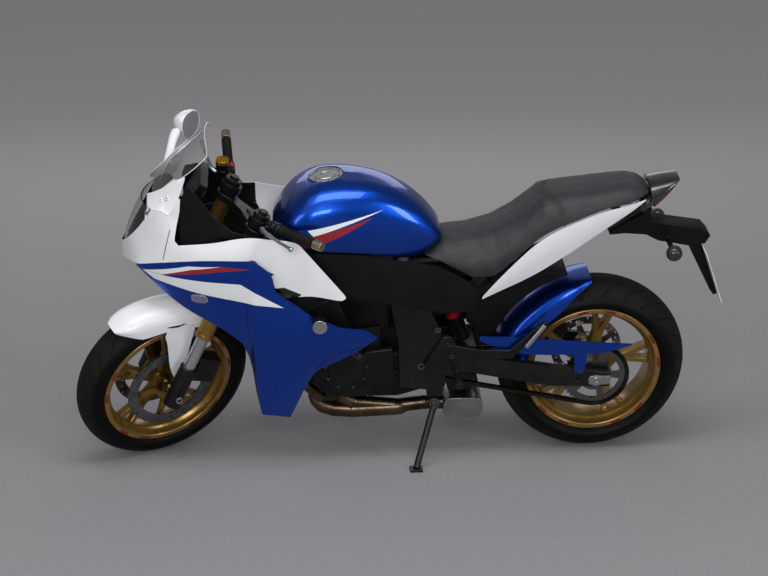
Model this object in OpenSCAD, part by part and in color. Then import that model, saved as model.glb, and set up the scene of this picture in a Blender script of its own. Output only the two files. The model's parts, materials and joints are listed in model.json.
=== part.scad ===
// Faired sport motorcycle standing on its side stand, an assembly of named sub-parts.
// Upright frame in mm: x forward from the rear axle, y to the left, z up from the ground.
// Stations along x in the tables are for the reference wheelbase and stretch with it.

/* [Stance] */
// Distance between the axles with the steering straight
wheelbase = 1437; // [1400:1:1480]
// Lean on the side stand in degrees
lean = 11.5; // [10:0.5:13]
// Steering lock to each side in degrees
steer_lock = 29; // [25:1:31]
// Steering head angle from the upright in degrees
rake = 25; // [24:0.5:26]
// Fork legs ahead of the steering axis
fork_offset = 36; // [32:1:40]
// Distance between the fork leg centrelines
fork_spacing = 206; // [200:1:212]

/* [Wheels] */
// Front tyre outer radius
front_tyre_r = 300; // [294:1:304]
// Front tyre width
front_tyre_w = 120; // [112:1:122]
// Rear tyre outer radius
rear_tyre_r = 315; // [309:1:320]
// Rear tyre width
rear_tyre_w = 180; // [168:1:184]
// Radius of the rim at the tyre bead
rim_seat_r = 216; // [208:1:222]
// Front rim width over the flanges
front_rim_w = 102; // [94:1:106]
// Rear rim width over the flanges
rear_rim_w = 150; // [140:1:156]
// Spokes in each wheel
spoke_count = 5; // [3:1:6]
// Front brake disc outer radius
front_disc_r = 148; // [140:1:154]
// Rear brake disc outer radius
rear_disc_r = 120; // [112:1:126]
// Brake disc thickness
disc_t = 4.5; // [3.5:0.5:5.5]
// Front axle outer radius
front_axle_r = 12; // [10:0.5:14]
// Rear axle outer radius
rear_axle_r = 12.5; // [11:0.5:14]
// Radius of the bore through both axles
axle_bore_r = 7; // [5:0.5:8]

/* [Chain drive] */
// Pitch radius of the rear sprocket
rear_sprocket_r = 108; // [96:1:116]
// Pitch radius of the gearbox sprocket
gear_sprocket_r = 38; // [32:1:42]
// Teeth of the rear sprocket
rear_teeth = 43; // [36:1:48]

/* [Fork] */
// Radius of the upper fork tubes
fork_outer_r = 27; // [25:0.5:28]
// Radius of the sliding fork tubes
fork_inner_r = 20.5; // [18:0.5:22]
// Radius of the fork feet that hold the axle
fork_foot_r = 29; // [27:0.5:30]
// Radius of the steering stem
stem_r = 15; // [13:0.5:17]

/* [Bodywork] */
// Thickness of the painted panels
panel_t = 3; // [2.5:0.5:4]
// Thickness of the windscreen
screen_t = 3; // [2.5:0.5:4]
// Gap between neighbouring panels
seam = 0.8; // [0.4:0.1:0.9]
// Thickness of the two mudguards
guard_t = 3; // [2.5:0.5:4]

/* [Controls] */
// Radius of the handlebar tubes
bar_r = 11; // [10:0.5:12.5]
// Radius of the rubber grips
grip_r = 16; // [15:0.5:18]
// Reach of each grip end from the middle
bar_reach = 312; // [304:1:320]

/* [Stand] */
// Radius of the side stand leg
stand_r = 11; // [10:0.5:13]
// Distance of the stand foot to the left of the middle plane, upright
stand_reach = 252; // [235:1:270]

/* [Mounts] */
// Tapping radius of the paddock stand threads in the swingarm
bobbin_r = 4; // [3:0.5:5]
// Tapping radius of the mirror threads in the left mirror plate
mirror_thread_r = 3; // [2:0.5:4]

/* [Hidden] */
$fa = 6;
$fs = 1.5;
ref_wheelbase = 1437;
fit = 0.3;
e = 0.01;
stretch = wheelbase / ref_wheelbase;
function st(x) = x * stretch;

// Steering geometry
up = [-sin(rake), 0, cos(rake)];
ahead = [cos(rake), 0, sin(rake)];
front_axle = [wheelbase, 0, front_tyre_r];
rear_axle = [0, 0, rear_tyre_r];
steer_origin = front_axle - fork_offset * ahead;
leg_y = fork_spacing / 2;

// Points turned about an axis k through o by a degrees
function about(p, o, k, a) =
    let (d = p - o) o + d * cos(a) + cross(k, d) * sin(a) + k * (k * d) * (1 - cos(a));
function leaned(p) = [p[0], p[1] * cos(lean) + p[2] * sin(lean), p[2] * cos(lean) - p[1] * sin(lean)];
function pitched(p) = [p[0] * cos(pitch) + p[2] * sin(pitch), p[1], p[2] * cos(pitch) - p[0] * sin(pitch)];

// Lowest point of a leaned tyre whose crown is a circle of radius c
front_crown = front_tyre_w * 0.53;
rear_crown = rear_tyre_w * 0.54;
front_c = leaned(about(front_axle, steer_origin, up, steer_lock));
rear_c = leaned(rear_axle);
front_n = leaned(about([0, 1, 0], [0, 0, 0], up, steer_lock));
rear_n = leaned([0, 1, 0]);
function low(c, n, r, k) = c[2] - (r - k) * sqrt(1 - n[2] * n[2]) - k;
front_low = low(front_c, front_n, front_tyre_r, front_crown);
rear_low = low(rear_c, rear_n, rear_tyre_r, rear_crown);
pitch = asin((front_low - rear_low) / (front_c[0] - rear_c[0]));
lift = -rear_low;

// Middle of the parked machine's plan
plan_x = 651.4 * stretch;
plan_y = 155.1;

module park() {
    translate([-plan_x, -plan_y, lift]) rotate([0, pitch, 0]) rotate([-lean, 0, 0]) children();
}
module steer() {
    translate(steer_origin) rotate([0, -rake, 0]) rotate([0, 0, steer_lock]) rotate([0, rake, 0])
        translate(-steer_origin) children();
}
// Frame on the front axle with z up along the fork and x ahead of it
module fork_frame() { translate(front_axle) rotate([0, -rake, 0]) children(); }
module both() { children(); mirror([0, 1, 0]) children(); }
// Cylinder along y between y0 and y1
module pin(x, z, r, y0, y1) { translate([x, y1, z]) rotate([90, 0, 0]) cylinder(r = r, h = y1 - y0); }
module box(x0, x1, y0, y1, z0, z1) { translate([x0, y0, z0]) cube([x1 - x0, y1 - y0, z1 - z0]); }
// Side outline of x, z points extruded between y0 and y1
module slab(points, y0, y1) {
    translate([0, y1, 0]) rotate([90, 0, 0]) linear_extrude(y1 - y0)
        polygon([for (p = points) [st(p[0]), p[1]]]);
}
// Straight round bar between two points
module rod(a, b, r) {
    d = b - a;
    translate(a) rotate([0, acos(d[2] / norm(d)), atan2(d[1], d[0])]) cylinder(r = r, h = norm(d));
}
// Solid skinned over rings that advance along x, each counterclockwise seen from the front
module loft(rings) {
    n = len(rings[0]);
    m = len(rings);
    polyhedron([for (r = rings) for (p = r) p],
        concat([[for (j = [0 : n - 1]) j]], [[for (j = [n - 1 : -1 : 0]) (m - 1) * n + j]],
            [for (i = [0 : m - 2]) for (j = [0 : n - 1]) for (h = [0, 1])
                let (a = i * n + j, b = a + n, c = (i + 1) * n + (j + 1) % n, d = i * n + (j + 1) % n)
                h == 0 ? [a, b, c] : [a, c, d]]));
}
// Shell between an outer grid g and an inner grid k of the same size
module shell(g, k) {
    n = len(g[0]);
    m = len(g);
    o = n * m;
    polyhedron(concat([for (r = g) for (p = r) p], [for (r = k) for (p = r) p]),
        concat([for (i = [0 : m - 2]) for (j = [0 : n - 2]) for (h = [0 : 3])
                let (a = i * n + j, b = a + n, c = b + 1, d = a + 1)
                h == 0 ? [a, b, c] : h == 1 ? [a, c, d] : h == 2 ? [o + a, o + c, o + b] : [o + a, o + d, o + c]],
            [for (i = [0 : m - 2]) for (h = [0 : 3])
                let (a = i * n, b = a + n, d = a + n - 1, c = d + n)
                h == 0 ? [b, a, o + a] : h == 1 ? [b, o + a, o + b] : h == 2 ? [d, c, o + c] : [d, o + c, o + d]],
            [for (j = [0 : n - 2]) for (h = [0 : 3])
                let (a = j, d = j + 1, b = (m - 1) * n + j, c = b + 1)
                h == 0 ? [a, d, o + d] : h == 1 ? [a, o + d, o + a] : h == 2 ? [c, b, o + b] : [c, o + b, o + c]]));
}
// Side panel from rows of station, lower z, upper z, lower y, upper y, bulge
steps = 5;
function side_y(r, t) = r[3] + (r[4] - r[3]) * t + r[5] * 4 * t * (1 - t);
function side_grid(rows, inset) = [for (r = rows) [for (j = [0 : steps])
    let (t = j / steps) [st(r[0]), side_y(r, t) - inset, r[1] + (r[2] - r[1]) * t]]];
module side_panel(rows) { shell(side_grid(rows, 0), side_grid(rows, panel_t)); }
function col(rows, c) = [for (r = rows) [r[0], r[c]]];
function row_at(rows, x) = [x, for (c = [1 : 5]) lookup(x, col(rows, c))];
// Outer y of a side panel at station x and height z, along its facets
function skin(rows, x, z) = let (r = row_at(rows, x), t = steps * (z - r[1]) / (r[2] - r[1]),
    j = min(max(floor(t), 0), steps - 1)) side_y(r, j / steps) + (t - j) * (side_y(r, (j + 1) / steps) - side_y(r, j / steps));
function slope_x(rows, x, z) = (skin(rows, x + 4, z) - skin(rows, x - 4, z)) / 8;
function slope_z(rows, x, z) = (skin(rows, x, z + 4) - skin(rows, x, z - 4)) / 8;
function slope(rows, x, z) = norm([slope_x(rows, x, z), slope_z(rows, x, z)]);
// End of a boss of radius r that seats under the panel
function under(rows, x, z, r) = skin(rows, x, z) - panel_t - fit - r * slope(rows, x, z);

// Seam line between the upper cowl and the side fairing: station, z, y
SPLIT = [[1104, 815.5, 232], [1126, 820, 232], [1160, 821, 231], [1205, 821.5, 227], [1246, 820, 222],
    [1289, 817, 214], [1349, 805.5, 194], [1394, 796, 177], [1435, 784, 154], [1468, 773, 134], [1489, 765, 117]];
function split_z(x) = lookup(x, col(SPLIT, 1));
function split_y(x) = lookup(x, col(SPLIT, 2));

// Side fairing: station, lower z, upper z, lower y, upper y, bulge
FAIRING = concat([[731, 523, 531, 205, 208, 0], [768, 493, 560, 200, 211, 2], [788, 475, 563, 198, 213, 3],
    [855, 437, 573, 190, 217, 6], [893, 416, 598, 186, 220, 9], [924, 398, 608, 182, 222, 12],
    [958, 344, 634, 175, 224, 16], [986, 271, 660, 166, 226, 20], [1012, 213, 679, 160, 227, 24],
    [1052, 218, 710, 160, 229, 24], [1060, 219, 770, 160, 229, 24], [1104, 225, 812, 160, 232, 24]],
    [for (r = [[1120, 300, 166, 22], [1128, 390, 174, 18], [1138, 451, 180, 14], [1160, 506, 182, 10],
        [1205, 544, 180, 10], [1246, 574, 178, 10], [1289, 599, 175, 10], [1349, 637, 165, 8],
        [1394, 676, 155, 6], [1435, 713, 140, 3], [1468, 742, 125, 1], [1489, 758, 112, 0]])
        [r[0], r[1], split_z(r[0]) - seam / 2, r[2], split_y(r[0]), r[3]]]);

// Upper cowl behind the seam, tucked inside the fairing lobe, then along the seam
COWL = concat([[830, 664, 672, 196, 195, 0], [845, 657, 692, 198, 195, 0], [906, 675, 771, 204, 200, 2],
    [943, 684, 820, 208, 203, 3], [980, 682, 868, 211, 207, 4], [1020, 698, 878, 213, 211, 4],
    [1051, 716, 883, 214, 214, 4], [1082, 750, 887, 216, 217, 4]],
    [for (r = [[1106, 893, 218, 2], [1160, 893, 219, 2], [1205, 882, 217, 2], [1246, 874, 212, 2],
        [1289, 868, 205, 2], [1349, 857, 186, 1], [1364, 877, 179, 1], [1380, 950, 164, 4], [1394, 959, 155, 5],
        [1410, 958, 146, 5], [1431, 955, 130, 5], [1450, 923, 121, 4], [1468, 895, 107, 3], [1489, 864, 90, 2]])
        [r[0], split_z(r[0]) + seam / 2, r[1], r[0] < 1110 ? 220 : split_y(r[0]), r[2], r[3]]],
    [[1515, 756, 829, 62, 62, 0], [1535, 746, 800, 20, 18, 0], [1540, 744, 796, 1, 1, 0]]);

// Mirror plate beside the windscreen: station, lower z, upper z, lower y, upper y, bulge
PLATE = concat([[1320, 1066, 1074, 153, 152, 0], [1344, 1000, 1060, 162, 142, 0], [1362, 964, 1050, 168, 133, 0]],
    [for (r = [[1380, 1034, 126], [1394, 1022, 117], [1410, 1011, 107], [1431, 997, 91]])
        [r[0], lookup(r[0], col(COWL, 2)) + seam, r[1], lookup(r[0], col(COWL, 4)), r[2], 0]],
    [[1444, 962, 989, 108, 78, 0]]);

// Tail side panel
TAIL = [[-128, 940, 944, 96, 97, 0], [-86, 905, 929, 101, 104, 1], [11, 842, 914, 112, 120, 3],
    [89, 786, 885, 118, 130, 5], [130, 760, 870, 122, 134, 6], [202, 713, 834, 128, 138, 6],
    [269, 678, 770, 132, 140, 5], [342, 645, 689, 135, 140, 2], [388, 622, 630, 137, 138, 0]];

// Black side cover below the tank and the seat nose
COVER = [[397, 612, 640, 131, 131, 0], [415, 582, 672, 137, 134, 2], [476, 577, 716, 141, 136, 3],
    [557, 588, 752, 147, 135, 3], [638, 606, 760, 151, 133, 3], [719, 628, 779, 154, 138, 3],
    [800, 648, 796, 157, 149, 3], [850, 676, 802, 159, 156, 2], [900, 730, 807, 161, 161, 1],
    [955, 796, 811, 164, 162, 0]];

// Fuel tank: station, lower z, top z, half width, flat share of the crown
TANK = [[516, 812, 822, 58, 0.6], [524, 806, 846, 78, 0.7], [543, 794, 876, 94, 0.75], [582, 772, 922, 110, 0.8],
    [638, 764, 965, 124, 0.85], [700, 778, 996, 138, 0.85], [768, 795, 1013, 152, 0.88], [848, 806, 1019, 166, 0.9],
    [905, 812, 1012, 172, 0.9], [948, 817, 994, 170, 0.9], [990, 822, 966, 158, 0.85], [1020, 826, 934, 138, 0.8],
    [1046, 830, 894, 108, 0.7], [1056, 832, 868, 84, 0.7]];
// Share of the height at which the tank is widest, and how far it tucks in below
tank_waist = 0.32;
tuck = 30;
tank_steps = 16;
function tank_ring(r) = let (w = r[1] + (r[2] - r[1]) * tank_waist) [for (j = [0 : tank_steps])
    let (a = -tuck + (180 + 2 * tuck) * j / tank_steps, c = cos(a))
    [st(r[0]), r[3] * sign(c) * pow(abs(c), 1 - 0.45 * r[4]),
        sin(a) < 0 ? w + (w - r[1]) * sin(a) / sin(tuck) : w + (r[2] - w) * pow(sin(a), 0.9)]];
function arch(x, y0, z0, z1, w, k, n) = [for (j = [0 : n]) let (a = 180 * j / n)
    [st(x), y0 + w * sign(cos(a)) * pow(abs(cos(a)), 1 - 0.45 * k), z0 + (z1 - z0) * pow(sin(a), 0.9)]];

// Seat: station, skirt z, top z, half width
SEAT = [[-146, 950, 962, 62], [-118, 946, 974, 86], [-84, 938, 976, 104], [17, 917, 964, 122], [90, 889, 956, 132],
    [140, 872, 950, 135], [192, 840, 941, 138], [212, 826, 922, 138], [275, 774, 872, 140], [348, 702, 832, 141],
    [428, 700, 812, 138], [478, 724, 806, 132], [512, 742, 803, 126], [540, 752, 790, 116], [562, 758, 776, 104],
    [578, 762, 768, 92]];
seat_base = 22;

// Tail cover behind the seat, with a step up at the seat's end: station, lower z, top z, half width
TAIL_COVER = [[-244, 986, 991, 42], [-225, 970, 990, 58], [-190, 940, 986, 76], [-149.5, 914, 978, 84], [-147, 912, 944, 84],
    [-132, 903, 940, 80]];
// Tail light under the cover: station, lower z, half width
TAIL_LIGHT = [[-236, 969, 44], [-225, 950, 54], [-190, 914, 70], [-165, 894, 76]];
// Windscreen rows: middle station, middle z, edge station, edge y, edge z
SCREEN = [[1434, 972, 1392, 116.4, 1019], [1384, 1030, 1342, 139.2, 1058], [1324, 1098, 1288, 146, 1102],
    [1276, 1150, 1252, 128, 1132], [1262, 1164, 1254, 104, 1154]];
screen_cols = 8;
// Headlight rows: middle station, z, edge station, edge y
LAMP = [[1532, 800, 1519, 46.8], [1521, 850, 1496, 77.4], [1499, 900, 1462, 107], [1477, 940, 1437, 122.6], [1470, 952, 1430, 126]];

// Curve across the machine from one edge to the other, bowed ahead in the middle
function bow(xm, zm, xe, ye, ze, n) = [for (j = [0 : n]) let (s = 2 * j / n - 1)
    [st(xe + (xm - xe) * (1 - pow(abs(s), 2.2))), s * ye, ze + (zm - ze) * (1 - pow(abs(s), 2.2))]];
function moved(g, v) = [for (r = g) [for (p = r) p + v]];

// Steering head, measured up the fork from the axle
head_lo = 505;
head_hi = 638;
yoke_t = 30;
fork_top = 716;
foot_top = 115;
upper_lo = 239;
// Swingarm pivot and gearbox sprocket: station, z
pivot = [580, 390];
output = [650, 385];
pivot_r = 12;
plate_in = 120;
plate_out = 134;
case_in = 88;
case_out = 120;
block_out = 165;
// Front face of the cylinder block: lower and upper station and z
block_face = [[950, 455], [1000, 590]];
function face_x(z) = lookup(z, [for (p = block_face) [p[1], p[0]]]);
radiator_out = 150;
rail_in = 72;
rail_out = 98;
// Chain plates: inner and outer y of the two rows
sprocket_y = 106;
sprocket_t = 6;
chain_y = [[98.7, 102.2], [109.8, 113.3]];
chain_h = 8;
arm_out = 142;
arm_in = 120;
arm_h = 36;
front_hub = 45;
rear_hub = 62;
front_disc_y = 57;
rear_disc_y = -82;

// Side stand: pivot, foot, and the axis that tucks the leg along the frame
stand_pivot = [st(535), 134, 236];
pad_t = 8;
// Inner end of the stand eye along its axis
eye_lo = -stand_r - 1;
foot_x = st(601);
foot_z = ((pad_t - lift + foot_x * sin(pitch)) / cos(pitch) + stand_reach * sin(lean)) / cos(lean);
stand_foot = [foot_x, stand_reach, foot_z];
stand_down = (stand_foot - stand_pivot) / norm(stand_foot - stand_pivot);
stand_tucked = [-0.98, 0.14, 0.14];
stand_cross = cross(stand_down, stand_tucked);
stand_axis = stand_cross / norm(stand_cross);
module along(p, k) { translate(p) rotate([0, acos(k[2]), atan2(k[1], k[0])]) children(); }

// Height of the cross bar of the fairing stay
stay_z = 866;
stay_r = 9;
// Foot of the fairing stay on the front of the head tube
stay_root = front_axle + 560 * up + (stem_r - fork_offset + 4) * ahead;
PIVOT_PLATE = [[500, 300], [556, 288], [650, 300], [660, 480], [690, 640], [690, 716], [610, 716], [560, 600], [505, 470]];

module frame() color("#26282b") {
    difference() {
        union() {
            fork_frame() translate([-fork_offset, 0, head_lo]) cylinder(r = stem_r + 16, h = head_hi - head_lo);
            hull() {
                fork_frame() translate([-fork_offset - stem_r - 15, -28, head_lo + 5]) cube([20, 56, 85]);
                box(st(880), st(890), -56, 56, 700, 770);
            }
            hull() {
                box(st(880), st(890), -56, 56, 700, 770);
                box(st(612), st(690), -plate_out, plate_out, 650, 716);
            }
            both() slab(PIVOT_PLATE, plate_in, plate_out);
            rod(stay_root, [st(1304), 0, stay_z], stay_r - 0.5);
            pin(st(1304), stay_z, stay_r, -under(COCKPIT, 1304, stay_z, stay_r), under(COCKPIT, 1304, stay_z, stay_r));
            slab([[510, 262], [560, 262], [566, 300], [504, 304]], 84, plate_out);
            both() pin(st(640), 690, 8, plate_out - e, under(COVER, 640, 690, 8));
            for (p = [[900, 0], [650, 0]])
                translate([st(p[0]), p[1], 705]) cylinder(r = 10, h = lookup(p[0] - 10, col(TANK, 1)) - fit - 705);
            along(stand_pivot, stand_axis) translate([0, 0, eye_lo - 34]) cylinder(r = 15, h = 34 - fit);
            box(st(519), st(551), 86, 101, 214, 271);
        }
        fork_frame() translate([-fork_offset, 0, head_lo - 50]) cylinder(r = stem_r + fit, h = 250);
    }
    pin(st(pivot[0]), pivot[1], pivot_r, -plate_out, plate_out);
    along(stand_pivot, stand_axis) translate([0, 0, eye_lo - 4]) cylinder(r = 6, h = 16 - eye_lo);
    along(stand_pivot, stand_axis) translate([0, 0, 8.5]) cylinder(r = 10, h = 6);
}

module subframe() color("#1d1f22") {
    both() {
        hull() {
            box(st(604), st(612), rail_in, rail_out, 660, 706);
            box(st(300), st(310), rail_in, rail_out, 712, 746);
        }
        hull() {
            box(st(300), st(310), rail_in, rail_out, 712, 746);
            box(st(-118), st(-110), 52, 74, 890, 916);
        }
        for (p = [[230, 758], [40, 842]])
            pin(st(p[0]), p[1], 7, 74, under(TAIL, p[0], p[1], 7));
    }
    for (p = [[290, 716], [-60, 872]]) {
        box(st(p[0]), st(p[0]) + 24, -80, 80, p[1], p[1] + 22);
        translate([st(p[0]) + 12, 0, p[1] + 20]) cylinder(r = 9, h = min(seat_ceiling(p[0]), seat_ceiling(p[0] + 24)) - fit - p[1] - 20);
    }
}

module engine() color("#33363a") {
    both() slab([[716, 300], [760, 262], [885, 262], [935, 320], [935, 450], [925, 505], [716, 520]], 0, case_out);
    both() slab([[616, 330], [645, 285], [720, 285], [720, 510], [616, 490]], 0, case_in);
    both() slab([[800, 500], block_face[0], block_face[1], [860, 655]], 0, block_out);
    both() for (p = [[632, 462], [636, 308]]) pin(st(p[0]), p[1], 12, case_in - e, plate_in);
    pin(st(output[0]), output[1], 16, case_in - e, sprocket_y);
    pin(st(output[0]), output[1], gear_sprocket_r - 9, sprocket_y - sprocket_t / 2, sprocket_y + sprocket_t / 2);
}

module engine_covers() color("#2b2d30") {
    pin(st(828), 385, 74, case_out, 158);
    pin(st(828), 385, 60, 157, 164);
    slab([[668, 318], [770, 306], [770, 440], [676, 452]], case_out, 146);
    pin(st(770), 385, 84, -158, -case_out);
    pin(st(770), 385, 66, -165, -157);
}

RAD = [[1030, 440], [1058, 432], [1100, 690], [1072, 700]];
module radiator() color("#3a3c3f") {
    slab(RAD, -radiator_out, radiator_out);
    slab([[face_x(560) + fit, 560], [1052, 560], [1056, 582], [face_x(582) + fit, 582]], -20, 20);
    both() for (p = [[1064, 520], [1080, 640]])
        pin(st(p[0]), p[1], 8, radiator_out - e, under(FAIRING, p[0], p[1], 8));
}

// Header pipe run below each cylinder: station, share of y, z
HEADER = [[993, 1, 420], [968, 0.9, 312], [915, 0.64, 240], [860, 0.32, 216]];
header_r = 18;
// Weld bead that stands proud at each bend
bead = 0.8;
// Link pipe from the collector to the silencer: station, y, z
PIPE = [[790, 40, 194], [650, 45, 180], [560, 45, 190], [500, 45, 190]];
pipe_r = 24;
module exhaust_pipes() color("#8d8478") {
    for (y = [-114, -38, 38, 114]) {
        n = [0.937, 0, -0.347];
        a = [st(face_x(520)), y, 520] + fit * n;
        b = a + 32 * n;
        rod(a, b, header_r);
        translate(b) sphere(r = header_r + bead);
        rod(b, [st(HEADER[0][0]), y, HEADER[0][2]], header_r);
        for (i = [0 : len(HEADER) - 2]) {
            p = HEADER[i];
            q = HEADER[i + 1];
            translate([st(p[0]), y * p[1], p[2]]) sphere(r = header_r + bead);
            rod([st(p[0]), y * p[1], p[2]], [st(q[0]), y * q[1], q[2]], header_r);
        }
    }
    rod([st(880), 0, 222], [st(790), 40, 194], 34);
    for (i = [0 : len(PIPE) - 2]) {
        p = PIPE[i];
        q = PIPE[i + 1];
        translate([st(p[0]), p[1], p[2]]) sphere(r = pipe_r + bead);
        rod([st(p[0]), p[1], p[2]], [st(q[0]) + (i == 2 ? fit : 0), q[1], q[2]], pipe_r);
    }
}

module silencer() color("#b9b6ae") {
    slab([[368, 178], [376, 162], [392, 153], [478, 153], [494, 160], [500, 172], [500, 210], [492, 222], [478, 228], [392, 228],
        [376, 220], [368, 204]], -90, 92);
    rod([st(430), -85, 196], [st(430), -150, 232], 24);
    rod([st(440), -158, 236], [st(90), -204, 372], 46);
    rod([st(92), -204, 371], [st(64), -207, 382], 34);
}

// Filler cap: station, z, tilt down ahead, radius and height
cap = [885, 1011, 6.3];
cap_r = 56;
cap_h = 10;
module at_cap() { translate([st(cap[0]), 0, cap[1]]) rotate([0, cap[2], 0]) children(); }
module fuel_tank() color("#1b3f9c") difference() {
    loft([for (r = TANK) tank_ring(r)]);
    at_cap() translate([0, 0, -cap_h - fit]) cylinder(r = cap_r + 2, h = 40);
}
module tank_cap() color("#c9ccd0") at_cap() translate([0, 0, -cap_h]) cylinder(r = cap_r, h = cap_h);

function seat_low(r) = r[0] < 346 ? lookup(r[0], col(TAIL, 2)) + seam + 1.6 : r[1];
function seat_ceiling(x) =
    let (s = [for (r = SEAT) [r[0], seat_low(r) + (r[2] - seat_low(r)) * 0.45]]) lookup(x, s);
module seat() color("#2e2e30")
    shell([for (r = SEAT) arch(r[0], 0, seat_low(r), r[2], r[3], 0.75, 14)],
        [for (r = SEAT) arch(r[0], 0, seat_low(r), seat_low(r) + (r[2] - seat_low(r)) * 0.45, r[3] - seat_base, 0.75, 14)]);

module tail_panels() color("#e9eaec") both() side_panel(TAIL);

module tail_cover() color("#202225") {
    loft([for (r = TAIL_COVER) arch(r[0], 0, r[1], r[2], r[3], 0.8, 10)]);
    box(st(-136), st(-118) - fit, -70, 70, 892, 915);
}
module tail_light() color("#b01c1c")
    loft([for (r = TAIL_LIGHT) [for (p = arch(r[0], 0, fit - lookup(r[0], col(TAIL_COVER, 1)), -r[1], r[2], 0.8, 10))
        [p[0], -p[1], -p[2]]]]);

// Boom of the plate holder, its drop arm, and where the indicators sit: station, z, y of the stalk's end
BOOM = [[-136, 904], [-136, 868], [-30, 806], [-30, 796], [-80, 800], [-150, 794], [-190, 772], [-232, 764], [-290, 752],
    [-346, 758], [-362, 786], [-340, 810], [-217, 830], [-165, 846], [-158, 868], [-164, 886], [-150, 898]];
PLATE_ARM = [[-290, 756], [-334, 760], [-404, 570], [-392, 566], [-378, 586], [-331, 676]];
INDICATOR = [-222, 776, 112];
indicator_r = 26;
module plate_holder() color("#1c1d1f") {
    slab(BOOM, -40, 40);
    slab(PLATE_ARM, -32, 32);
    for (s = [-1, 1]) rod([st(INDICATOR[0]), 0, INDICATOR[1]], [st(INDICATOR[0]), s * INDICATOR[2], INDICATOR[1]], 8);
}
// Plate along the rear edge of the arm
plate_t = 3;
plate_top = 744;
plate_low = 562;
function arm_back(z) = lookup(z, [[570, -404], [760, -334]]) - (z < 570 ? (570 - z) * 7 / 19 : 0);
module licence_plate() color("#e6e6e2")
    slab([[arm_back(plate_top) - fit, plate_top], [arm_back(plate_top) - fit - plate_t, plate_top],
        [arm_back(plate_low) - fit - plate_t, plate_low], [arm_back(plate_low) - fit, plate_low]], -90, 90);
module rear_indicators() color("#3b3430") both() {
    translate([st(INDICATOR[0]), INDICATOR[2] + fit, INDICATOR[1]]) rotate([-90, 0, 0]) cylinder(r1 = 12, r2 = 18, h = 14);
    translate([st(INDICATOR[0]), INDICATOR[2] + 32, INDICATOR[1]]) sphere(r = indicator_r);
}

module upper_cowl() color("#eef0f2") both() side_panel(COWL);

// Outward unit normal and outer point of a panel at station x and height z
function normal(rows, x, z) = let (n = [-slope_x(rows, x, z), 1, -slope_z(rows, x, z)]) n / norm(n);
function outer(rows, x, z) = [st(x), skin(rows, x, z), z];
// Mirror seats: station, z, and how far each stands proud of the plate
MIRROR_SEATS = [[1380, 1000], [1400, 990]];
seat_proud = 2;
seat_depth = 16;
module mirror_plates() color("#eef0f2") difference() {
    union() {
        both() side_panel(PLATE);
        for (p = MIRROR_SEATS) along(outer(PLATE, p[0], p[1]), normal(PLATE, p[0], p[1]))
            translate([0, 0, -seat_depth]) cylinder(r = 7, h = seat_depth + seat_proud);
    }
    for (p = MIRROR_SEATS) along(outer(PLATE, p[0], p[1]), normal(PLATE, p[0], p[1]))
        translate([0, 0, 4 - seat_depth]) cylinder(r = mirror_thread_r, h = seat_depth + 20);
}

module headlight() color("#cfd8de") {
    g = [for (r = LAMP) bow(r[0], r[1], r[2], r[3], r[1], screen_cols)];
    shell(g, moved(g, [-4, 0, 0]));
}

module windscreen() color("#bcd0d8") {
    g = [for (r = SCREEN) bow(r[0], r[1], r[2], r[3], r[4], screen_cols)];
    shell(g, moved(g, [-screen_t * 0.75, 0, -screen_t * 0.75]));
}

// Mirror head frame: x ahead, glass behind the open end at mirror_cut
mirror_cut = -10;
// Half depth, half width and half height of the mirror head
mirror_half = [44, 82, 52];
function oval(x, k) = [for (j = [0 : 19]) [x, k * mirror_half[1] * cos(18 * j), k * mirror_half[2] * sin(18 * j)]];
module on_mirror() { translate([st(1335), -312, 1062]) rotate([0, -8, -27]) rotate([12, 0, 0]) children(); }
// Mirror stalk on its plate: station and z of the foot, and the end inside the shell
STALK = [1388, 1000];
stalk_end = [1371, 274, 1048];
module mirror_shell() color("#eef0f2") {
    mirror([0, 1, 0]) {
        n = normal(PLATE, STALK[0], STALK[1]);
        base = outer(PLATE, STALK[0], STALK[1]) + 2 * fit * n;
        along(base, n) cylinder(r = 12, h = 11);
        rod(base + 9 * n, [st(stalk_end[0]), stalk_end[1], stalk_end[2]], 11);
    }
    on_mirror() loft([for (x = [mirror_cut, 4, 18, 30, 38, 43]) oval(x, sqrt(1 - pow(x / mirror_half[0], 2)))]);
}
module mirror_glass() color("#9fb0b8")
    on_mirror() translate([mirror_cut - 3 - fit, 0, 0]) loft([oval(0, 0.88), oval(3, 0.88)]);

module side_fairings() color("#1b3f9c") difference() {
    both() side_panel(FAIRING);
    pin(st(bobbin[0]), bobbin[1], bobbin[2] + fit, -300, 300);
}

module front_indicators() color("#d9a441") both() {
    n = normal(FAIRING, 1289, 680);
    along(outer(FAIRING, 1289, 680) + 2 * fit * n, n) rotate([0, 0, 90]) linear_extrude(6) {
        for (s = [-1, 1]) translate([s * 12, 0]) circle(r = 16);
        square([24, 32], center = true);
    }
}

// Cockpit side panel
COCKPIT = [[1122, 880, 890, 206, 205, 0], [1180, 868, 908, 203, 200, 0], [1240, 858, 958, 198, 186, 0],
    [1296, 852, 1030, 190, 162, 0], [1316, 850, 1052, 184, 154, 0], [1336, 850, 1000, 176, 160, 0],
    [1346, 850, 960, 170, 160, 0]];
// Inner cockpit panels and dash, black, on the fairing stay
module cockpit() color("#1a1b1d") {
    both() side_panel(COCKPIT);
    translate([st(1290), 0, 980]) rotate([0, -32, 0]) translate([-14, -95, -45]) cube([28, 190, 90]);
    box(st(1296), st(1312), -14, 14, stay_z + stay_r + fit, 960);
    both() {
        pin(st(1304), 853, 8, skin(COCKPIT, 1304, 853) - 1.5, under(COWL, 1304, 853, 8));
    }
}

module side_covers() color("#232528") both() side_panel(COVER);

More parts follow.
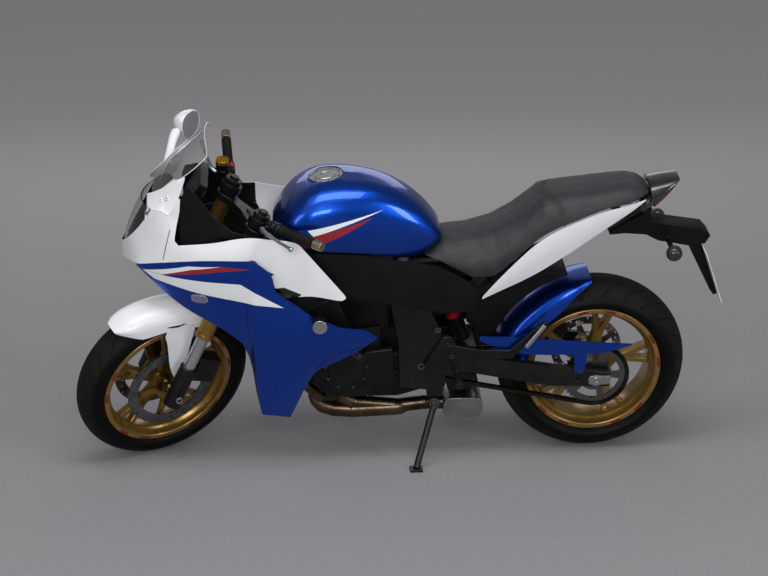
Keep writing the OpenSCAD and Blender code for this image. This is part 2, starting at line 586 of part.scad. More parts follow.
module swingarm() color("#2a2c2f") {
    difference() {
        union() {
            both() {
                hull() {
                    box(st(540), st(570), 66, 94, pivot[1] - 30, pivot[1] + 26);
                    box(st(150), st(160), arm_in, arm_out, 336 - arm_h - 4, 336 + arm_h);
                }
                hull() {
                    box(st(150), st(160), arm_in, arm_out, 336 - arm_h - 4, 336 + arm_h);
                    box(-46, -36, arm_in, arm_out, rear_tyre_r - 26, rear_tyre_r + 26);
                }
            }
            box(st(390), st(460), -92, 92, pivot[1] - 52, pivot[1] + 10);
            pin(st(pivot[0]), pivot[1], pivot_r + 8, -plate_in + fit, plate_in - fit);
        }
        pin(st(pivot[0]), pivot[1], pivot_r + fit, -200, 200);
        pin(0, rear_tyre_r, rear_axle_r + 0.1, -200, 200);
        for (s = [-1, 1]) translate([60, s * (arm_out - 14), 318]) rotate([-s * 90, 0, 0]) cylinder(r = bobbin_r, h = 40);
    }
}

module rear_axle() color("#a9acb0") {
    difference() {
        union() {
            pin(0, rear_tyre_r, rear_axle_r, -150, 150);
            both() pin(0, rear_tyre_r, 19, arm_out + fit, 148);
            both() pin(0, rear_tyre_r, 18, rear_hub + fit, arm_in - fit);
        }
        pin(0, rear_tyre_r, axle_bore_r, -160, 160);
    }
}

module shock() color("#a3241f") {
    rod([st(432), 0, 409.9], [st(520), 0, 640], 26);
    rod([st(519), 0, 636], [st(525), 0, 662], 12);
    box(st(505), st(612) - fit, -14, 14, 655, 700);
}

hugger_r = rear_tyre_r + 21;
hugger_w = rear_tyre_w / 2 + 8.6;
// Inner face of the swingarm at a station
function arm_inner(x) = lookup(x, [[160, arm_in], [540, 66]]);
// Mudguard shell about an axle from rows of angle up from ahead, crown radius, skirt radius, half width
guard_cols = 10;
function guard_grid(rows, c, t) = [for (r = rows) [for (j = [-guard_cols / 2 : guard_cols / 2])
    let (a = 180 * j / guard_cols, q = r[2] + (r[1] - t - r[2]) * pow(cos(a), 0.6))
    c + [q * cos(r[0]), (r[3] - t) * sign(a) * pow(abs(sin(a)), 0.8), q * sin(r[0])]]];
module guard(rows, c) { shell(guard_grid(rows, c, 0), guard_grid(rows, c, guard_t)); }
// Rows of the rear guard and of the front mudguard, measured off the tyre
HUGGER = [for (r = [[17, 18, 76], [24, 50, 96], [38, 79, hugger_w], [60, 79, hugger_w], [70, 55, hugger_w], [78, 31, 92], [86, 10, 70]])
    [r[0], hugger_r, hugger_r - r[1], r[2]]];
module hugger() color("#1b3f9c") {
    guard(HUGGER, rear_axle);
    both() {
        slab([[205, 480], [262, 458], [252, 362], [228, 362]], hugger_w - guard_t, hugger_w);
        pin(st(240), 374, 7, hugger_w - guard_t, arm_inner(250) - 2 * fit);
    }
}

GUARD = [[-108, 446, 450, arm_out + 3.5, arm_out + 3.5, 0], [-30, 418, 455, arm_out + 3.5, arm_out + 3.5, 0], [100, 415, 468, arm_out + 3.5, arm_out + 3.5, 0],
    [203, 415, 476, arm_out + 3.5, arm_out + 3.5, 0], [300, 430, 485, arm_out + 3.5, arm_out + 3.5, 0], [392, 474, 492, arm_out + 3.5, arm_out + 3.5, 0]];
module chain_guard() color("#1b3f9c") {
    side_panel(GUARD);
    slab([[35, 416], [80, 416], [75, 345], [45, 345]], arm_out + fit, arm_out + 3.5);
}

// Chain loop as two rows of plates straddling the sprocket teeth
module chain_loop(w) {
    c0 = [0, rear_tyre_r];
    c1 = [st(output[0]), output[1]];
    difference() {
        hull() {
            translate(c0) circle(r = rear_sprocket_r + w, $fn = 64);
            translate(c1) circle(r = gear_sprocket_r + w, $fn = 48);
        }
        hull() {
            translate(c0) circle(r = rear_sprocket_r - w, $fn = 64);
            translate(c1) circle(r = gear_sprocket_r - w, $fn = 48);
        }
    }
}
module chain() color("#6d6a62")
    for (y = chain_y) translate([0, y[1], 0]) rotate([90, 0, 0]) linear_extrude(y[1] - y[0]) chain_loop(chain_h);

// Footrest hanger: thickness of its foot and outer face of its arm
hanger_t = 14;
hanger_out = plate_out + hanger_t + 13;
module footrests() color("#2c2e31") both() {
    slab([[545, 350], [575, 385], [512, 492], [486, 492], [440, 400], [470, 350]], plate_out, plate_out + hanger_t);
    slab([[470, 360], [500, 470], [395, 448], [296, 444], [186, 548], [170, 534], [286, 414], [400, 412], [430, 372]], plate_out + hanger_t - e, hanger_out);
    pin(st(467), 366, 9, hanger_out - 6, hanger_out + 14);
}
module foot_pegs() color("#b8babd") both() {
    pin(st(467), 366, 12, hanger_out + 14 + fit, hanger_out + 92);
    rod([st(243), hanger_out + fit + 9, 462], [st(186), hanger_out + fit + 9, 540], 9);
}
module rear_caliper() color("#2b2b2d") {
    difference() {
        slab([[60, 372], [130, 340], [146, 384], [80, 430]], rear_disc_y - 25, rear_disc_y + 22);
        pin(0, rear_tyre_r, rear_disc_r + 6, rear_disc_y - disc_t / 2 - 5, rear_disc_y + disc_t / 2 + 5);
        pin(0, rear_tyre_r, rear_disc_r * 0.77 + 12, rear_disc_y - disc_t / 2 - 5, 0);
    }
    slab([[96, 336], [140, 336], [140, 372], [96, 380]], fit - arm_in, rear_disc_y - 20);
}
// Crash bobbin: station, z, radius of its stem
bobbin = [914, 600, 9];
module crash_bobbins() color("#8b97a3") both() {
    y = skin(FAIRING, bobbin[0], bobbin[1]);
    pin(st(bobbin[0]), bobbin[1], bobbin[2], block_out, y + 14);
    pin(st(bobbin[0]), bobbin[1], 24, y + 3, y + 44);
}

// Outline of a yoke: both fork legs and the stem joined by a web
module yoke(z0, t) {
    translate([0, 0, z0]) linear_extrude(t) difference() {
        union() {
            for (s = [-1, 1]) translate([0, s * leg_y]) circle(r = fork_outer_r + 9);
            translate([-fork_offset, 0]) circle(r = stem_r + 12);
            polygon([[18, leg_y], [-18, leg_y], [-fork_offset - stem_r - 6, 12], [-fork_offset - stem_r - 6, -12],
                [-18, -leg_y], [18, -leg_y], [4, 0]]);
        }
        for (s = [-1, 1]) translate([0, s * leg_y]) circle(r = fork_outer_r + 0.1);
    }
}
module yokes() color("#1e2022") fork_frame() {
    yoke(head_lo - 1 - yoke_t, yoke_t);
    yoke(head_hi + 1, yoke_t - 6);
    translate([-fork_offset, 0, head_lo - yoke_t]) cylinder(r = stem_r, h = head_hi - head_lo + 2 * yoke_t);
}
module fork_uppers() color("#c8962e") fork_frame() both() translate([0, leg_y, upper_lo]) {
    cylinder(r = fork_outer_r, h = fork_top - upper_lo);
    cylinder(r = fork_outer_r + 3, h = 14);
    translate([0, 0, fork_top - upper_lo - e]) cylinder(r = 15, h = 10);
}
module fork_tubes() color("#c9ccd0") fork_frame() both()
    translate([0, leg_y, foot_top]) cylinder(r = fork_inner_r, h = upper_lo - foot_top);

// Caliper block in the fork frame: x0, x1, z0, z1
CALIPER = [-126, -46, 52, 142];
module fork_feet() color("#232528") difference() {
    fork_frame() both() {
        translate([0, leg_y, -38]) cylinder(r = fork_foot_r, h = foot_top + 38);
        box(CALIPER[1] + fit, 0, leg_y - 22, leg_y - 6, CALIPER[2] + 14, CALIPER[3] - 30);
    }
    pin(wheelbase, front_tyre_r, front_axle_r + 0.1, -200, 200);
}
module front_axle() color("#a9acb0") difference() {
    union() {
        pin(wheelbase, front_tyre_r, front_axle_r, -leg_y - fork_foot_r - 4, leg_y + fork_foot_r + 4);
        both() pin(wheelbase, front_tyre_r, front_axle_r + 5, front_hub + fit, leg_y - fork_foot_r - fit);
    }
    pin(wheelbase, front_tyre_r, axle_bore_r, -200, 200);
}

// Handlebar: clamp on the fork leg and a tube out to the grip end
clamp_z = 686;
bar_in = [front_axle[0] - clamp_z * sin(rake), leg_y, front_axle[2] + clamp_z * cos(rake)];
bar_rise = 31;
bar_sweep = 84;
bar_end = bar_in + [-bar_sweep, bar_reach - leg_y, bar_rise];
bar_dir = (bar_end - bar_in) / norm(bar_end - bar_in);
bar_len = norm(bar_end - bar_in);
module handlebars() color("#1c1d1f") both() difference() {
    union() {
        fork_frame() translate([0, leg_y, clamp_z - 14]) cylinder(r = fork_outer_r + 8, h = 28);
        rod(bar_in, bar_end, bar_r);
    }
    fork_frame() translate([0, leg_y, clamp_z - 40]) cylinder(r = fork_outer_r + 0.1, h = 120);
}
grip_from = bar_len - 128;
module grips() color("#161617") both() difference() {
    rod(bar_in + grip_from * bar_dir, bar_in + (bar_len - 4) * bar_dir, grip_r);
    rod(bar_in, bar_in + (bar_len + 10) * bar_dir, bar_r + 0.1);
}
module bar_ends() color("#b07a35") both()
    rod(bar_end + fit * bar_dir, bar_end + 34 * bar_dir, grip_r - 1);
// Lever perches, switch boxes and levers
module controls() color("#8f9499") both() {
    difference() {
        rod(bar_in + (grip_from - 62) * bar_dir, bar_in + (grip_from - 4) * bar_dir, bar_r + 9);
        rod(bar_in, bar_end, bar_r + 0.1);
    }
    p = bar_in + (grip_from - 34) * bar_dir;
    rod(p + [bar_r + 2, 0, 4], p + [52, 12, 18], 8);
    rod(p + [50, 10, 18], p + [26, 158, 34], 6);
    translate(p + [26, 158, 34]) sphere(r = 8);
}
module brake_reservoir() color("#c8962e") {
    p = [bar_in[0], -bar_in[1], bar_in[2]] + (grip_from - 34) * [bar_dir[0], -bar_dir[1], bar_dir[2]];
    translate(p + [24, -3.4, 23]) cylinder(r = 21, h = 34);
    translate(p + [24, -3.4, 19.8]) cylinder(r = 5, h = 6);
}

mud_w = front_tyre_w / 2 + 9.6;
MUDGUARD = [for (r = [[57, 28, 10, 30], [60, 30, 24, 48], [64, 31, 46, 61], [69, 32, 70, 68], [80, 30, 78, mud_w], [94, 26, 76, mud_w],
    [108, 21, 70, mud_w], [120, 19, 66, mud_w]]) [r[0], front_tyre_r + r[1], front_tyre_r + r[1] - r[2], r[3]]];
module front_mudguard() color("#eef0f2") {
    guard(MUDGUARD, front_axle);
    both() slab([[1346, 552], [1440, 572], [1456, 526], [1446, 494], [1443, 385], [1424, 340], [1404, 342], [1392, 375]], mud_w - guard_t, mud_w);
    fork_frame() both() box(-8, 8, mud_w - guard_t, leg_y - fork_foot_r - fit, 90, 110);
}

module front_calipers() color("#26231f") both() difference() {
    fork_frame() box(CALIPER[0], CALIPER[1], front_disc_y - 22, front_disc_y + 34, CALIPER[2], CALIPER[3]);
    pin(wheelbase, front_tyre_r, front_disc_r + 6, front_disc_y - disc_t / 2 - 5, front_disc_y + disc_t / 2 + 5);
    pin(wheelbase, front_tyre_r, front_disc_r * 0.77 + 12, 0, front_disc_y + disc_t / 2 + 5);
}

// Wheel rim of width w: barrel, hub and forked spokes of thickness t
module rim(w, hub_r, hub_y, bore_r, t) {
    s = rim_seat_r;
    rotate([90, 0, 0]) rotate_extrude($fn = 96) polygon([[s + 12, w / 2], [s + 12, w / 2 - 7], [s, w / 2 - 8], [s - 2, w / 2 - 22],
        [s - 14, w / 2 - 30], [s - 14, 30 - w / 2], [s - 2, 22 - w / 2], [s, 8 - w / 2], [s + 12, 7 - w / 2], [s + 12, -w / 2],
        [s - 6, -w / 2], [s - 10, 20 - w / 2], [s - 22, 32 - w / 2], [s - 22, w / 2 - 32], [s - 10, w / 2 - 20], [s - 6, w / 2]]);
    difference() {
        union() {
            rotate([90, 0, 0]) translate([0, 0, -hub_y]) cylinder(r = hub_r, h = 2 * hub_y);
            rotate([90, 0, 0]) for (i = [0 : spoke_count - 1]) rotate([0, 0, 100 + 360 * i / spoke_count])
                translate([0, 0, -t]) linear_extrude(2 * t) spoke(hub_r);
        }
        rotate([90, 0, 0]) translate([0, 0, -hub_y - 5]) cylinder(r = bore_r, h = 2 * hub_y + 10);
    }
}
// Forked spoke outline along x
module spoke(hub_r) {
    s = rim_seat_r - 19;
    difference() {
        polygon([[hub_r - 8, 20], [110, 17], [s, 38], [s, -38], [110, -17], [hub_r - 8, -20]]);
        polygon([[130, 0], [s + 1, 21], [s + 1, -21]]);
    }
}
// Tyre with a round crown of radius c, seated on a rim of width w
module tyre(r, tw, c, w) {
    s = rim_seat_r;
    a = asin(tw / 2 / c);
    n = 10;
    casing = 14;
    outer = [for (i = [-n : n]) [r - c + c * cos(a * i / n), c * sin(a * i / n)]];
    inner = [for (i = [n : -1 : -n]) [r - c + (c - casing) * cos(a * i / n), (c - casing) * sin(a * i / n)]];
    rotate([90, 0, 0]) rotate_extrude($fn = 96) polygon(concat(outer, [[s + 13, w / 2 - 1], [s + 13, w / 2 - 8 - fit],
        [s + fit, w / 2 - 8 - fit], [s + fit, w / 2 - 21]], inner, [[s + fit, 21 - w / 2], [s + fit, 8 + fit - w / 2],
        [s + 13, 8 + fit - w / 2], [s + 13, 1 - w / 2]]));
}
// Drilled brake disc with its carrier between y0 on the hub and the disc at y
module disc(r, y0, y, hub_r) {
    s = sign(y);
    ring = r * 0.23;
    d0 = abs(y) - disc_t / 2;
    rotate([s * -90, 0, 0]) {
        translate([0, 0, d0]) linear_extrude(disc_t) difference() {
            circle(r = r, $fn = 96);
            circle(r = r - ring, $fn = 96);
            for (i = [0 : 11]) for (k = [0 : 2])
                rotate([0, 0, 30 * i + 10 * k]) translate([r - ring * (0.22 + 0.28 * k), 0]) circle(r = 3.2, $fn = 16);
        }
        translate([0, 0, abs(y0)]) linear_extrude(d0 - abs(y0) + e) difference() {
            union() {
                circle(r = hub_r + 12);
                for (i = [0 : 4]) rotate([0, 0, 72 * i]) polygon([[hub_r, 14], [r - ring + 6, 9], [r - ring + 6, -9], [hub_r, -14]]);
            }
            circle(r = hub_r - 12);
        }
    }
}
front_hub_r = 38;
rear_hub_r = 46;
module at_front() { translate(front_axle) children(); }
module at_rear() { translate(rear_axle) children(); }
module front_rim() color("#c39a3f") at_front() rim(front_rim_w, front_hub_r, front_hub, front_axle_r + fit, 14);
module front_tyre() color("#1b1b1c") at_front() tyre(front_tyre_r, front_tyre_w, front_crown, front_rim_w);
module front_discs() color("#8f9296") at_front() for (s = [-1, 1]) disc(front_disc_r, front_hub, s * front_disc_y, front_hub_r);
module rear_rim() color("#c39a3f") at_rear() rim(rear_rim_w, rear_hub_r, rear_hub, rear_axle_r + fit, 18);
module rear_tyre() color("#1b1b1c") at_rear() tyre(rear_tyre_r, rear_tyre_w, rear_crown, rear_rim_w);
module rear_disc() color("#8f9296") at_rear() disc(rear_disc_r, rear_hub, rear_disc_y, rear_hub_r);
module rear_sprocket() color("#77797c") at_rear() rotate([-90, 0, 0]) {
    root = rear_sprocket_r - 5;
    tip = rear_sprocket_r + 2;
    translate([0, 0, sprocket_y - sprocket_t / 2]) linear_extrude(sprocket_t) difference() {
        polygon([for (i = [0 : rear_teeth - 1]) for (k = [[0, root], [0.3, root], [0.55, tip], [0.75, tip]])
            let (a = 360 * (i + k[0]) / rear_teeth) k[1] * [cos(a), sin(a)]]);
        circle(r = 26);
        for (i = [0 : 4]) rotate([0, 0, 72 * i]) translate([76, 0]) circle(r = 15);
    }
    translate([0, 0, rear_hub]) linear_extrude(sprocket_y - sprocket_t / 2 - rear_hub + e) difference() {
        circle(r = 58);
        circle(r = 26);
    }
}

module side_stand() color("#2a2a2c") difference() {
    union() {
        along(stand_pivot, stand_axis) translate([0, 0, eye_lo]) cylinder(r = 17, h = 8 - eye_lo);
        rod(stand_pivot, stand_foot, stand_r);
        translate(stand_foot) rotate([lean, 0, 0]) rotate([0, -pitch, 0]) translate([-20, -22, -pad_t]) cube([42, 46, pad_t]);
    }
    along(stand_pivot, stand_axis) translate([0, 0, -30]) cylinder(r = 6 + fit, h = 38 + fit);
    along(stand_pivot, stand_axis) translate([0, 0, 8 + fit - e]) cylinder(r = 24, h = 30);
}

park() frame();
park() subframe();
park() engine();
park() engine_covers();
park() radiator();
park() exhaust_pipes();
park() silencer();
park() fuel_tank();
park() tank_cap();
park() seat();
park() tail_panels();
park() tail_cover();
park() tail_light();
park() plate_holder();
park() licence_plate();
park() rear_indicators();
park() upper_cowl();
park() mirror_plates();
park() headlight();
park() windscreen();
park() mirror_shell();
park() mirror_glass();
park() side_fairings();
park() front_indicators();
park() cockpit();
park() side_covers();
park() swingarm();
park() rear_axle();
park() shock();
park() hugger();
park() chain_guard();
park() chain();
park() footrests();
park() foot_pegs();
park() rear_caliper();
park() crash_bobbins();
park() steer() yokes();
park() steer() fork_uppers();
park() steer() fork_tubes();
park() steer() fork_feet();
park() steer() front_axle();
park() steer() handlebars();
park() steer() grips();
park() steer() bar_ends();
park() steer() controls();
park() steer() brake_reservoir();
park() steer() front_mudguard();
park() steer() front_calipers();
park() steer() front_rim();
park() steer() front_tyre();
park() steer() front_discs();
park() rear_rim();
park() rear_tyre();
park() rear_sprocket();
park() rear_disc();
park() side_stand();
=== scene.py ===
import json
import math

import bmesh
import bpy
from mathutils import Euler, Matrix, Vector
from mathutils.bvhtree import BVHTree

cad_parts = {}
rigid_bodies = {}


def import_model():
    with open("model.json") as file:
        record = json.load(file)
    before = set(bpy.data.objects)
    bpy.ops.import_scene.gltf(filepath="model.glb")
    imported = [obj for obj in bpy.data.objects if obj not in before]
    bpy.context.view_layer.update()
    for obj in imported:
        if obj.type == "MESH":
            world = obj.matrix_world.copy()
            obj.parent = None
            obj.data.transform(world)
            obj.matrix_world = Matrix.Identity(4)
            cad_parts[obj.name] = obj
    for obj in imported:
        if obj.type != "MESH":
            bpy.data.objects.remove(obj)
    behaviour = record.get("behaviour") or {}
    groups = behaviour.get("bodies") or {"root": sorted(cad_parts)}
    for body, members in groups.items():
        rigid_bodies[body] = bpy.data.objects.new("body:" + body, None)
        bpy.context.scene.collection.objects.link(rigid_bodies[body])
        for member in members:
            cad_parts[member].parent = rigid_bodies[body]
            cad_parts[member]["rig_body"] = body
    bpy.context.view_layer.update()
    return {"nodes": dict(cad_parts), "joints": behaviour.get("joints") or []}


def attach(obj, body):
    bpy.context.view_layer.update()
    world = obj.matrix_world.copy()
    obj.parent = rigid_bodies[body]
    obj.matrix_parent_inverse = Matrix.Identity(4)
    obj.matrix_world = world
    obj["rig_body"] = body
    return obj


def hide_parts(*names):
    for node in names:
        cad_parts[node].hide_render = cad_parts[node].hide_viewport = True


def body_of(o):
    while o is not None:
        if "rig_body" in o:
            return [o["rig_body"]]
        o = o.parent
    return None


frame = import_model()

bl_info = {
    "name": "Parked Sport Bike",
    "version": (1, 0, 0),
    "blender": (4, 5, 0),
    "location": "View3D > Sidebar > Bike",
    "description": "Finished pieces and materials around the packed model of a faired motorcycle",
    "category": "Add Mesh",
}

# Stance of the parked machine, as in the part's source
LEAN = math.radians(11.5)
PITCH = math.radians(0.3137)
LOCK = math.radians(29)
RAKE = math.radians(25)
WHEELBASE = 1.437
FRONT_R, REAR_R = 0.300, 0.315
FORK_OFFSET = 0.036


def joint(name):
    """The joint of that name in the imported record."""
    return next(j for j in frame["joints"] if j["name"] == name)


# Upright frame of the source, in metres, to the parked frame and back, and the steered parts within it
TURNED = Matrix.Rotation(PITCH, 4, "Y") @ Matrix.Rotation(-LEAN, 4, "X")
PARKED_HUB = Vector(joint("rear_wheel_spin")["pos_m"])
REAR_HUB = Vector((0, 0, REAR_R))
FRONT_HUB = Vector((WHEELBASE, 0, FRONT_R))
PARK = Matrix.Translation(PARKED_HUB - TURNED @ REAR_HUB) @ TURNED
UPRIGHT = PARK.inverted()
STEER_AXIS = Vector((-math.sin(RAKE), 0, math.cos(RAKE)))
STEER_ORIGIN = FRONT_HUB - FORK_OFFSET * Vector((math.cos(RAKE), 0, math.sin(RAKE)))
STEER = (Matrix.Translation(STEER_ORIGIN) @ Matrix.Rotation(LOCK, 4, STEER_AXIS)
         @ Matrix.Translation(-STEER_ORIGIN))
STEERED = PARK @ STEER
FRONT_WHEEL = STEERED @ Matrix.Translation(FRONT_HUB)
REAR_WHEEL = PARK @ Matrix.Translation(REAR_HUB)

# Widths of the tyres and rims, and how often the tread repeats round the tyre
FRONT_TYRE, FRONT_RIM, FRONT_TREAD = 0.120, 0.102, 26
REAR_TYRE, REAR_RIM, REAR_TREAD = 0.180, 0.150, 24
# Columns of one tread repeat: share of the repeat, and which side's groove is cut there
TREAD_COLUMNS = [(0.0, 0), (0.03, 1), (0.10, 1), (0.13, 0), (0.26, 0), (0.38, 0), (0.50, 0), (0.53, -1),
                 (0.60, -1), (0.63, 0), (0.76, 0), (0.88, 0)]
# Handlebar in the upright frame: root, direction, and where the grip starts and ends along it
BAR_IN = Vector((1.1471, 0.103, 0.9217))
BAR_WAY = Vector((-0.084, 0.209, 0.031)).normalized()
GRIP_FROM, GRIP_TO = 0.0994, 0.2234
GRIP_RIBS = 22
# Switch box: radius and distance from its inner end, which lies this far inside the grip
SWITCH_IN = 0.062
SWITCH_BOX = [(0.0112, 0), (0.017, 0), (0.0185, 0.0015), (0.0185, 0.013), (0.0165, 0.0145), (0.0165, 0.019),
              (0.0195, 0.021), (0.020, 0.024), (0.020, 0.036), (0.0192, 0.0372), (0.020, 0.0384),
              (0.020, 0.054), (0.0185, 0.057), (0.0112, 0.058)]
# Bracket and blade of a hand lever: place from a point on the bar, half width and half height
LEVER_IN = 0.034
LEVER_BRACKET = [((14, 0, 4), 9, 8), ((28, 4, 9), 9.5, 8), ((42, 9, 15), 9.5, 8), ((52, 13, 18), 8, 7)]
LEVER_BLADE = [((44, 4, 16), 6, 5), ((50, 9, 18), 8.5, 6.5), ((53, 24, 20), 8.5, 6.5),
               ((50, 44, 22), 6.5, 5.5), ((45, 72, 25), 6, 4.6), ((38, 104, 28), 5.6, 4.4),
               ((31, 134, 32), 5.4, 4.4), ((27, 152, 34), 6.2, 6), ((26, 158, 34), 7.8, 7.8),
               ((25, 163, 35), 6, 6), ((25, 166, 35), 2, 2)]
# The fork's gold ends this far up the steering axis, and the reservoir's lid starts at this height
GOLD_TOP = 0.637
CAP_FROM = 0.975
# The cowl is dark inside ahead of this station, and the right cockpit panel ends at this height
COWL_DARK = 1.11
COCKPIT_TOP = 0.985
# Mirror: place of its head, rim in the head's own frame, depth and size of each ring of the shell
MIRROR_AT = (1335, -312, 1062)
MIRROR_RIM = [(46, 4), (46, 22), (38, 37), (14, 45), (-20, 51), (-52, 42), (-74, 23), (-83, 2), (-83, -18),
              (-72, -36), (-48, -50), (-20, -57), (8, -45), (32, -20)]
MIRROR_RINGS = [(-7, 0.92), (-10, 0.93), (-10, 1.0), (-8, 1.03), (4, 1.0), (18, 0.9), (30, 0.7), (38, 0.46),
                (43, 0.15)]
MIRROR_PANE = [(-7.5, 0.915), (-9.5, 0.915)]
# Stalk of the mirror from its plate to the shell: place, half width and half height
MIRROR_STALK = [((1388, -132, 998), 17, 14), ((1388, -146, 1001), 17, 13), ((1384, -190, 1014), 14, 10),
                ((1379, -232, 1030), 14, 10), ((1370, -268, 1046), 19, 14), ((1362, -290, 1055), 16, 12)]
# Dials of the dash: middle of the dash, size, and radius as a share of the size with its height
DASH_AT = (1290, 0, 980)
DIAL = 0.038
DIAL_PROFILE = [(0.2, 0.0012), (0.22, 0.0022), (0.26, 0.0022), (0.28, 0.0012), (0.88, 0.0012), (0.92, 0.0045),
                (1, 0.0045), (1.04, -0.001)]
# Headlamp: radius and depth of a bowl and of its bulb, and the middle that the housing shrinks to
BOWL = [(0.004, -0.030), (0.020, -0.026), (0.032, -0.014), (0.038, 0.0), (0.041, 0.002), (0.041, -0.004),
        (0.034, -0.018), (0.021, -0.031), (0.004, -0.034)]
BULB = [(0.001, 0.004), (0.007, 0.003), (0.011, -0.002), (0.012, -0.010), (0.010, -0.028), (0.001, -0.028)]
LAMP_MIDDLE = Vector((1.46, 0, 0.87))
# White pillar between the cowl and the mirror plate: height, rear and front station, distance from the middle
PILLAR = [(868, 1360, 1365, 181.5), (886, 1358, 1367, 178), (908, 1354, 1372, 173.5), (930, 1349, 1378, 169),
          (950, 1344, 1382, 165.5), (964, 1341, 1366, 166), (985, 1339, 1354, 164), (1004, 1337, 1345, 162)]
# Castings and trays that close the underside: name, finish, two half widths, outline of station and height
CASTINGS = [("engine_sump", "engine_black", 0, 82,
             [(560, 318), (572, 262), (652, 238), (750, 238), (776, 266), (762, 306)]),
            ("intake_block", "engine_black", 0, 104, [(686, 505), (806, 498), (862, 645), (690, 640)]),
            ("shock_link", "black_metal", 0, 60,
             [(400, 344), (462, 344), (496, 282), (484, 244), (424, 240), (380, 262)]),
            ("frame_braces", "black_metal", 72, 98,
             [(392, 704), (350, 652), (450, 558), (540, 542), (568, 550), (568, 572), (490, 594)]),
            ("under_tray", "panel_inner", 0, 62,
             [(336, 451), (314, 496), (277, 548), (233, 592), (181, 628), (124, 655), (100, 664), (104, 671),
              (200, 684), (282, 698), (290, 722), (314, 722), (330, 690), (372, 650), (440, 590), (428, 500),
              (380, 455)]),
            ("axle_blocks", "bare_aluminium", 142, 145,
             [(-46, 302), (-40, 299), (20, 299), (26, 305), (26, 325), (20, 331), (-40, 331), (-46, 328)])]
# Wide pipe under the engine: place, half width and half height
COLLECTOR = [((940, 34, 226), 14, 13), ((927, 34, 205), 23, 22), ((905, 35, 184), 28, 27),
             ((866, 38, 171), 29, 28), ((800, 42, 168), 29, 28), ((660, 45, 174), 29, 28),
             ((640, 45, 177), 29, 28), ((632, 45, 179), 26, 25), ((618, 45, 181), 22, 21)]
# Rear sprocket: hub bore, hub, inside of the ring, root and tip of the teeth; number of teeth and arms
SPROCKET = (0.026, 0.056, 0.084, 0.103, 0.110)
TEETH, ARMS = 43, 5
# Half the width of an arm, as a share of the way from arm to arm
ARM_HALF = 0.14
# Sprocket across the wheel: inner and outer face of the ring, radius and inner and outer end of the carrier
RING_IN, RING_OUT = 0.103, 0.109
CARRIER = (0.058, 0.062, 0.1028)
# Chain: station, height and radius of its circles at the back and in front, and distance from the middle
CHAIN_BIG, CHAIN_SMALL = (0.0, REAR_R, 0.108), (0.650, 0.385, 0.038)
CHAIN_Y = 0.106
# Inner radius of the front discs' steel rings
DISC_RING = 0.114
# Sewn lines of the seat: distance behind the first, half width and depth of a line, and how low they reach
SEAMS = (0.0, 0.008, 0.015)
SEAM_WIDE, SEAM_DEEP, SEAM_FROM = 0.0016, 0.0018, 0.86
# Rounds of evening out after the cover has swelled
EVEN_ROUNDS = 40
# Bolts of the frame plates and of the panels: station, height and size
PLATE_BOLTS = [(529, 513, 2.1), (581, 380, 2.4), (485, 429, 1.6)]
PANEL_BOLTS = [(474, 712, 1.2), (794, 508, 1.1)]
# Rings of bolts on the engine covers: station, height, radius and side
COVER_BOLTS = [(828, 385, 67, 1), (770, 385, 58, -1)]
# Fuel cap: radius and height
CAP_PROFILE = [(0.0004, -0.0012), (0.017, -0.0012), (0.018, -0.0002), (0.033, -0.0002), (0.035, -0.0016),
               (0.0405, -0.0016), (0.0405, -0.0030), (0.0425, -0.0030), (0.0425, -0.0010), (0.0545, -0.0010),
               (0.056, -0.0025), (0.056, -0.016), (0.0004, -0.016)]
# Foot and head of the shock, and its red collar from the foot
SHOCK_FOOT, SHOCK_HEAD = (432, 0, 409.9), (520, 0, 640)
SHOCK_RED = (0.090, 0.140)


def mm(*p):
    """A point of the upright frame in millimetres, in metres."""
    return Vector(p) / 1000


def turns(count):
    """Even angles round a circle."""
    return [2 * math.pi * i / count for i in range(count)]


def basis(x, y, z):
    """A frame at the origin with the given axes."""
    return Matrix((x, y, z)).transposed().to_4x4()


def along(way):
    """A frame at the origin with y along a way and x level."""
    across = way.cross(Vector((0, 0, 1))).normalized()
    return basis(across, way, across.cross(way))

def linear(code):
    """Linear colour of a six-digit screen colour."""
    parts = [int(code[i:i + 2], 16) / 255 for i in (0, 2, 4)]
    return tuple(c / 12.92 if c <= 0.04045 else ((c + 0.055) / 1.055) ** 2.4 for c in parts)


def colour(label, code, about):
    """A colour that a user may change."""
    return bpy.props.FloatVectorProperty(
        name=label, description=about, default=linear(code), subtype="COLOR", size=3, min=0, max=1)


def length(label, value, about):
    """A size in metres that a user may change."""
    return bpy.props.FloatProperty(name=label, description=about, default=value, min=0, unit="LENGTH")


class BikeColours(bpy.types.PropertyGroup):
    """Colours of the finishes"""
    blue: colour("Blue", "0a43b0", "Candy blue of the tank, side panels and rear guard")
    white: colour("White", "eceef0", "White of the nose, tail and front guard")
    red: colour("Red", "96101f", "Red of the stripes")
    gold: colour("Gold", "9c7a3c", "Gold of the wheels and fork")
    bronze: colour("Bronze", "b9a98a", "Pale bronze of the bar ends")
    black: colour("Black", "0c0d0e", "Painted metal of frame and engine")
    # Plastic is also the colour of the painted shade in the vent opening on the white cowl.
    plastic: colour("Plastic", "090909", "Moulded plastic")
    vinyl: colour("Vinyl", "2a2b2e", "Seat cover")
    rubber: colour("Rubber", "070707", "Tyres and grips")
    steel: colour("Steel", "9c9c9c", "Bare steel and alloy")
    rim_red: colour("Rim stripe", "94301c", "Red part of the rim stripe")
    rim_pale: colour("Rim stripe, pale", "a87a50", "Pale part of the rim stripe")
    dust: colour("Dust", "7d766b", "Road dust")


class BikeSizes(bpy.types.PropertyGroup):
    """Sizes of the finishing work"""
    groove: length("Tread depth", 0.0035, "Depth of the tyre grooves")
    stitch: length("Stitch", 0.0055, "Length of one seat stitch")
    bolt: length("Bolt", 0.005, "Head radius of a common bolt")
    swell: length("Seat swell", 0.006, "Most that the seat cover may swell")
    link: length("Chain pitch", 0.015875, "Distance between the chain's pins")


# Node helpers

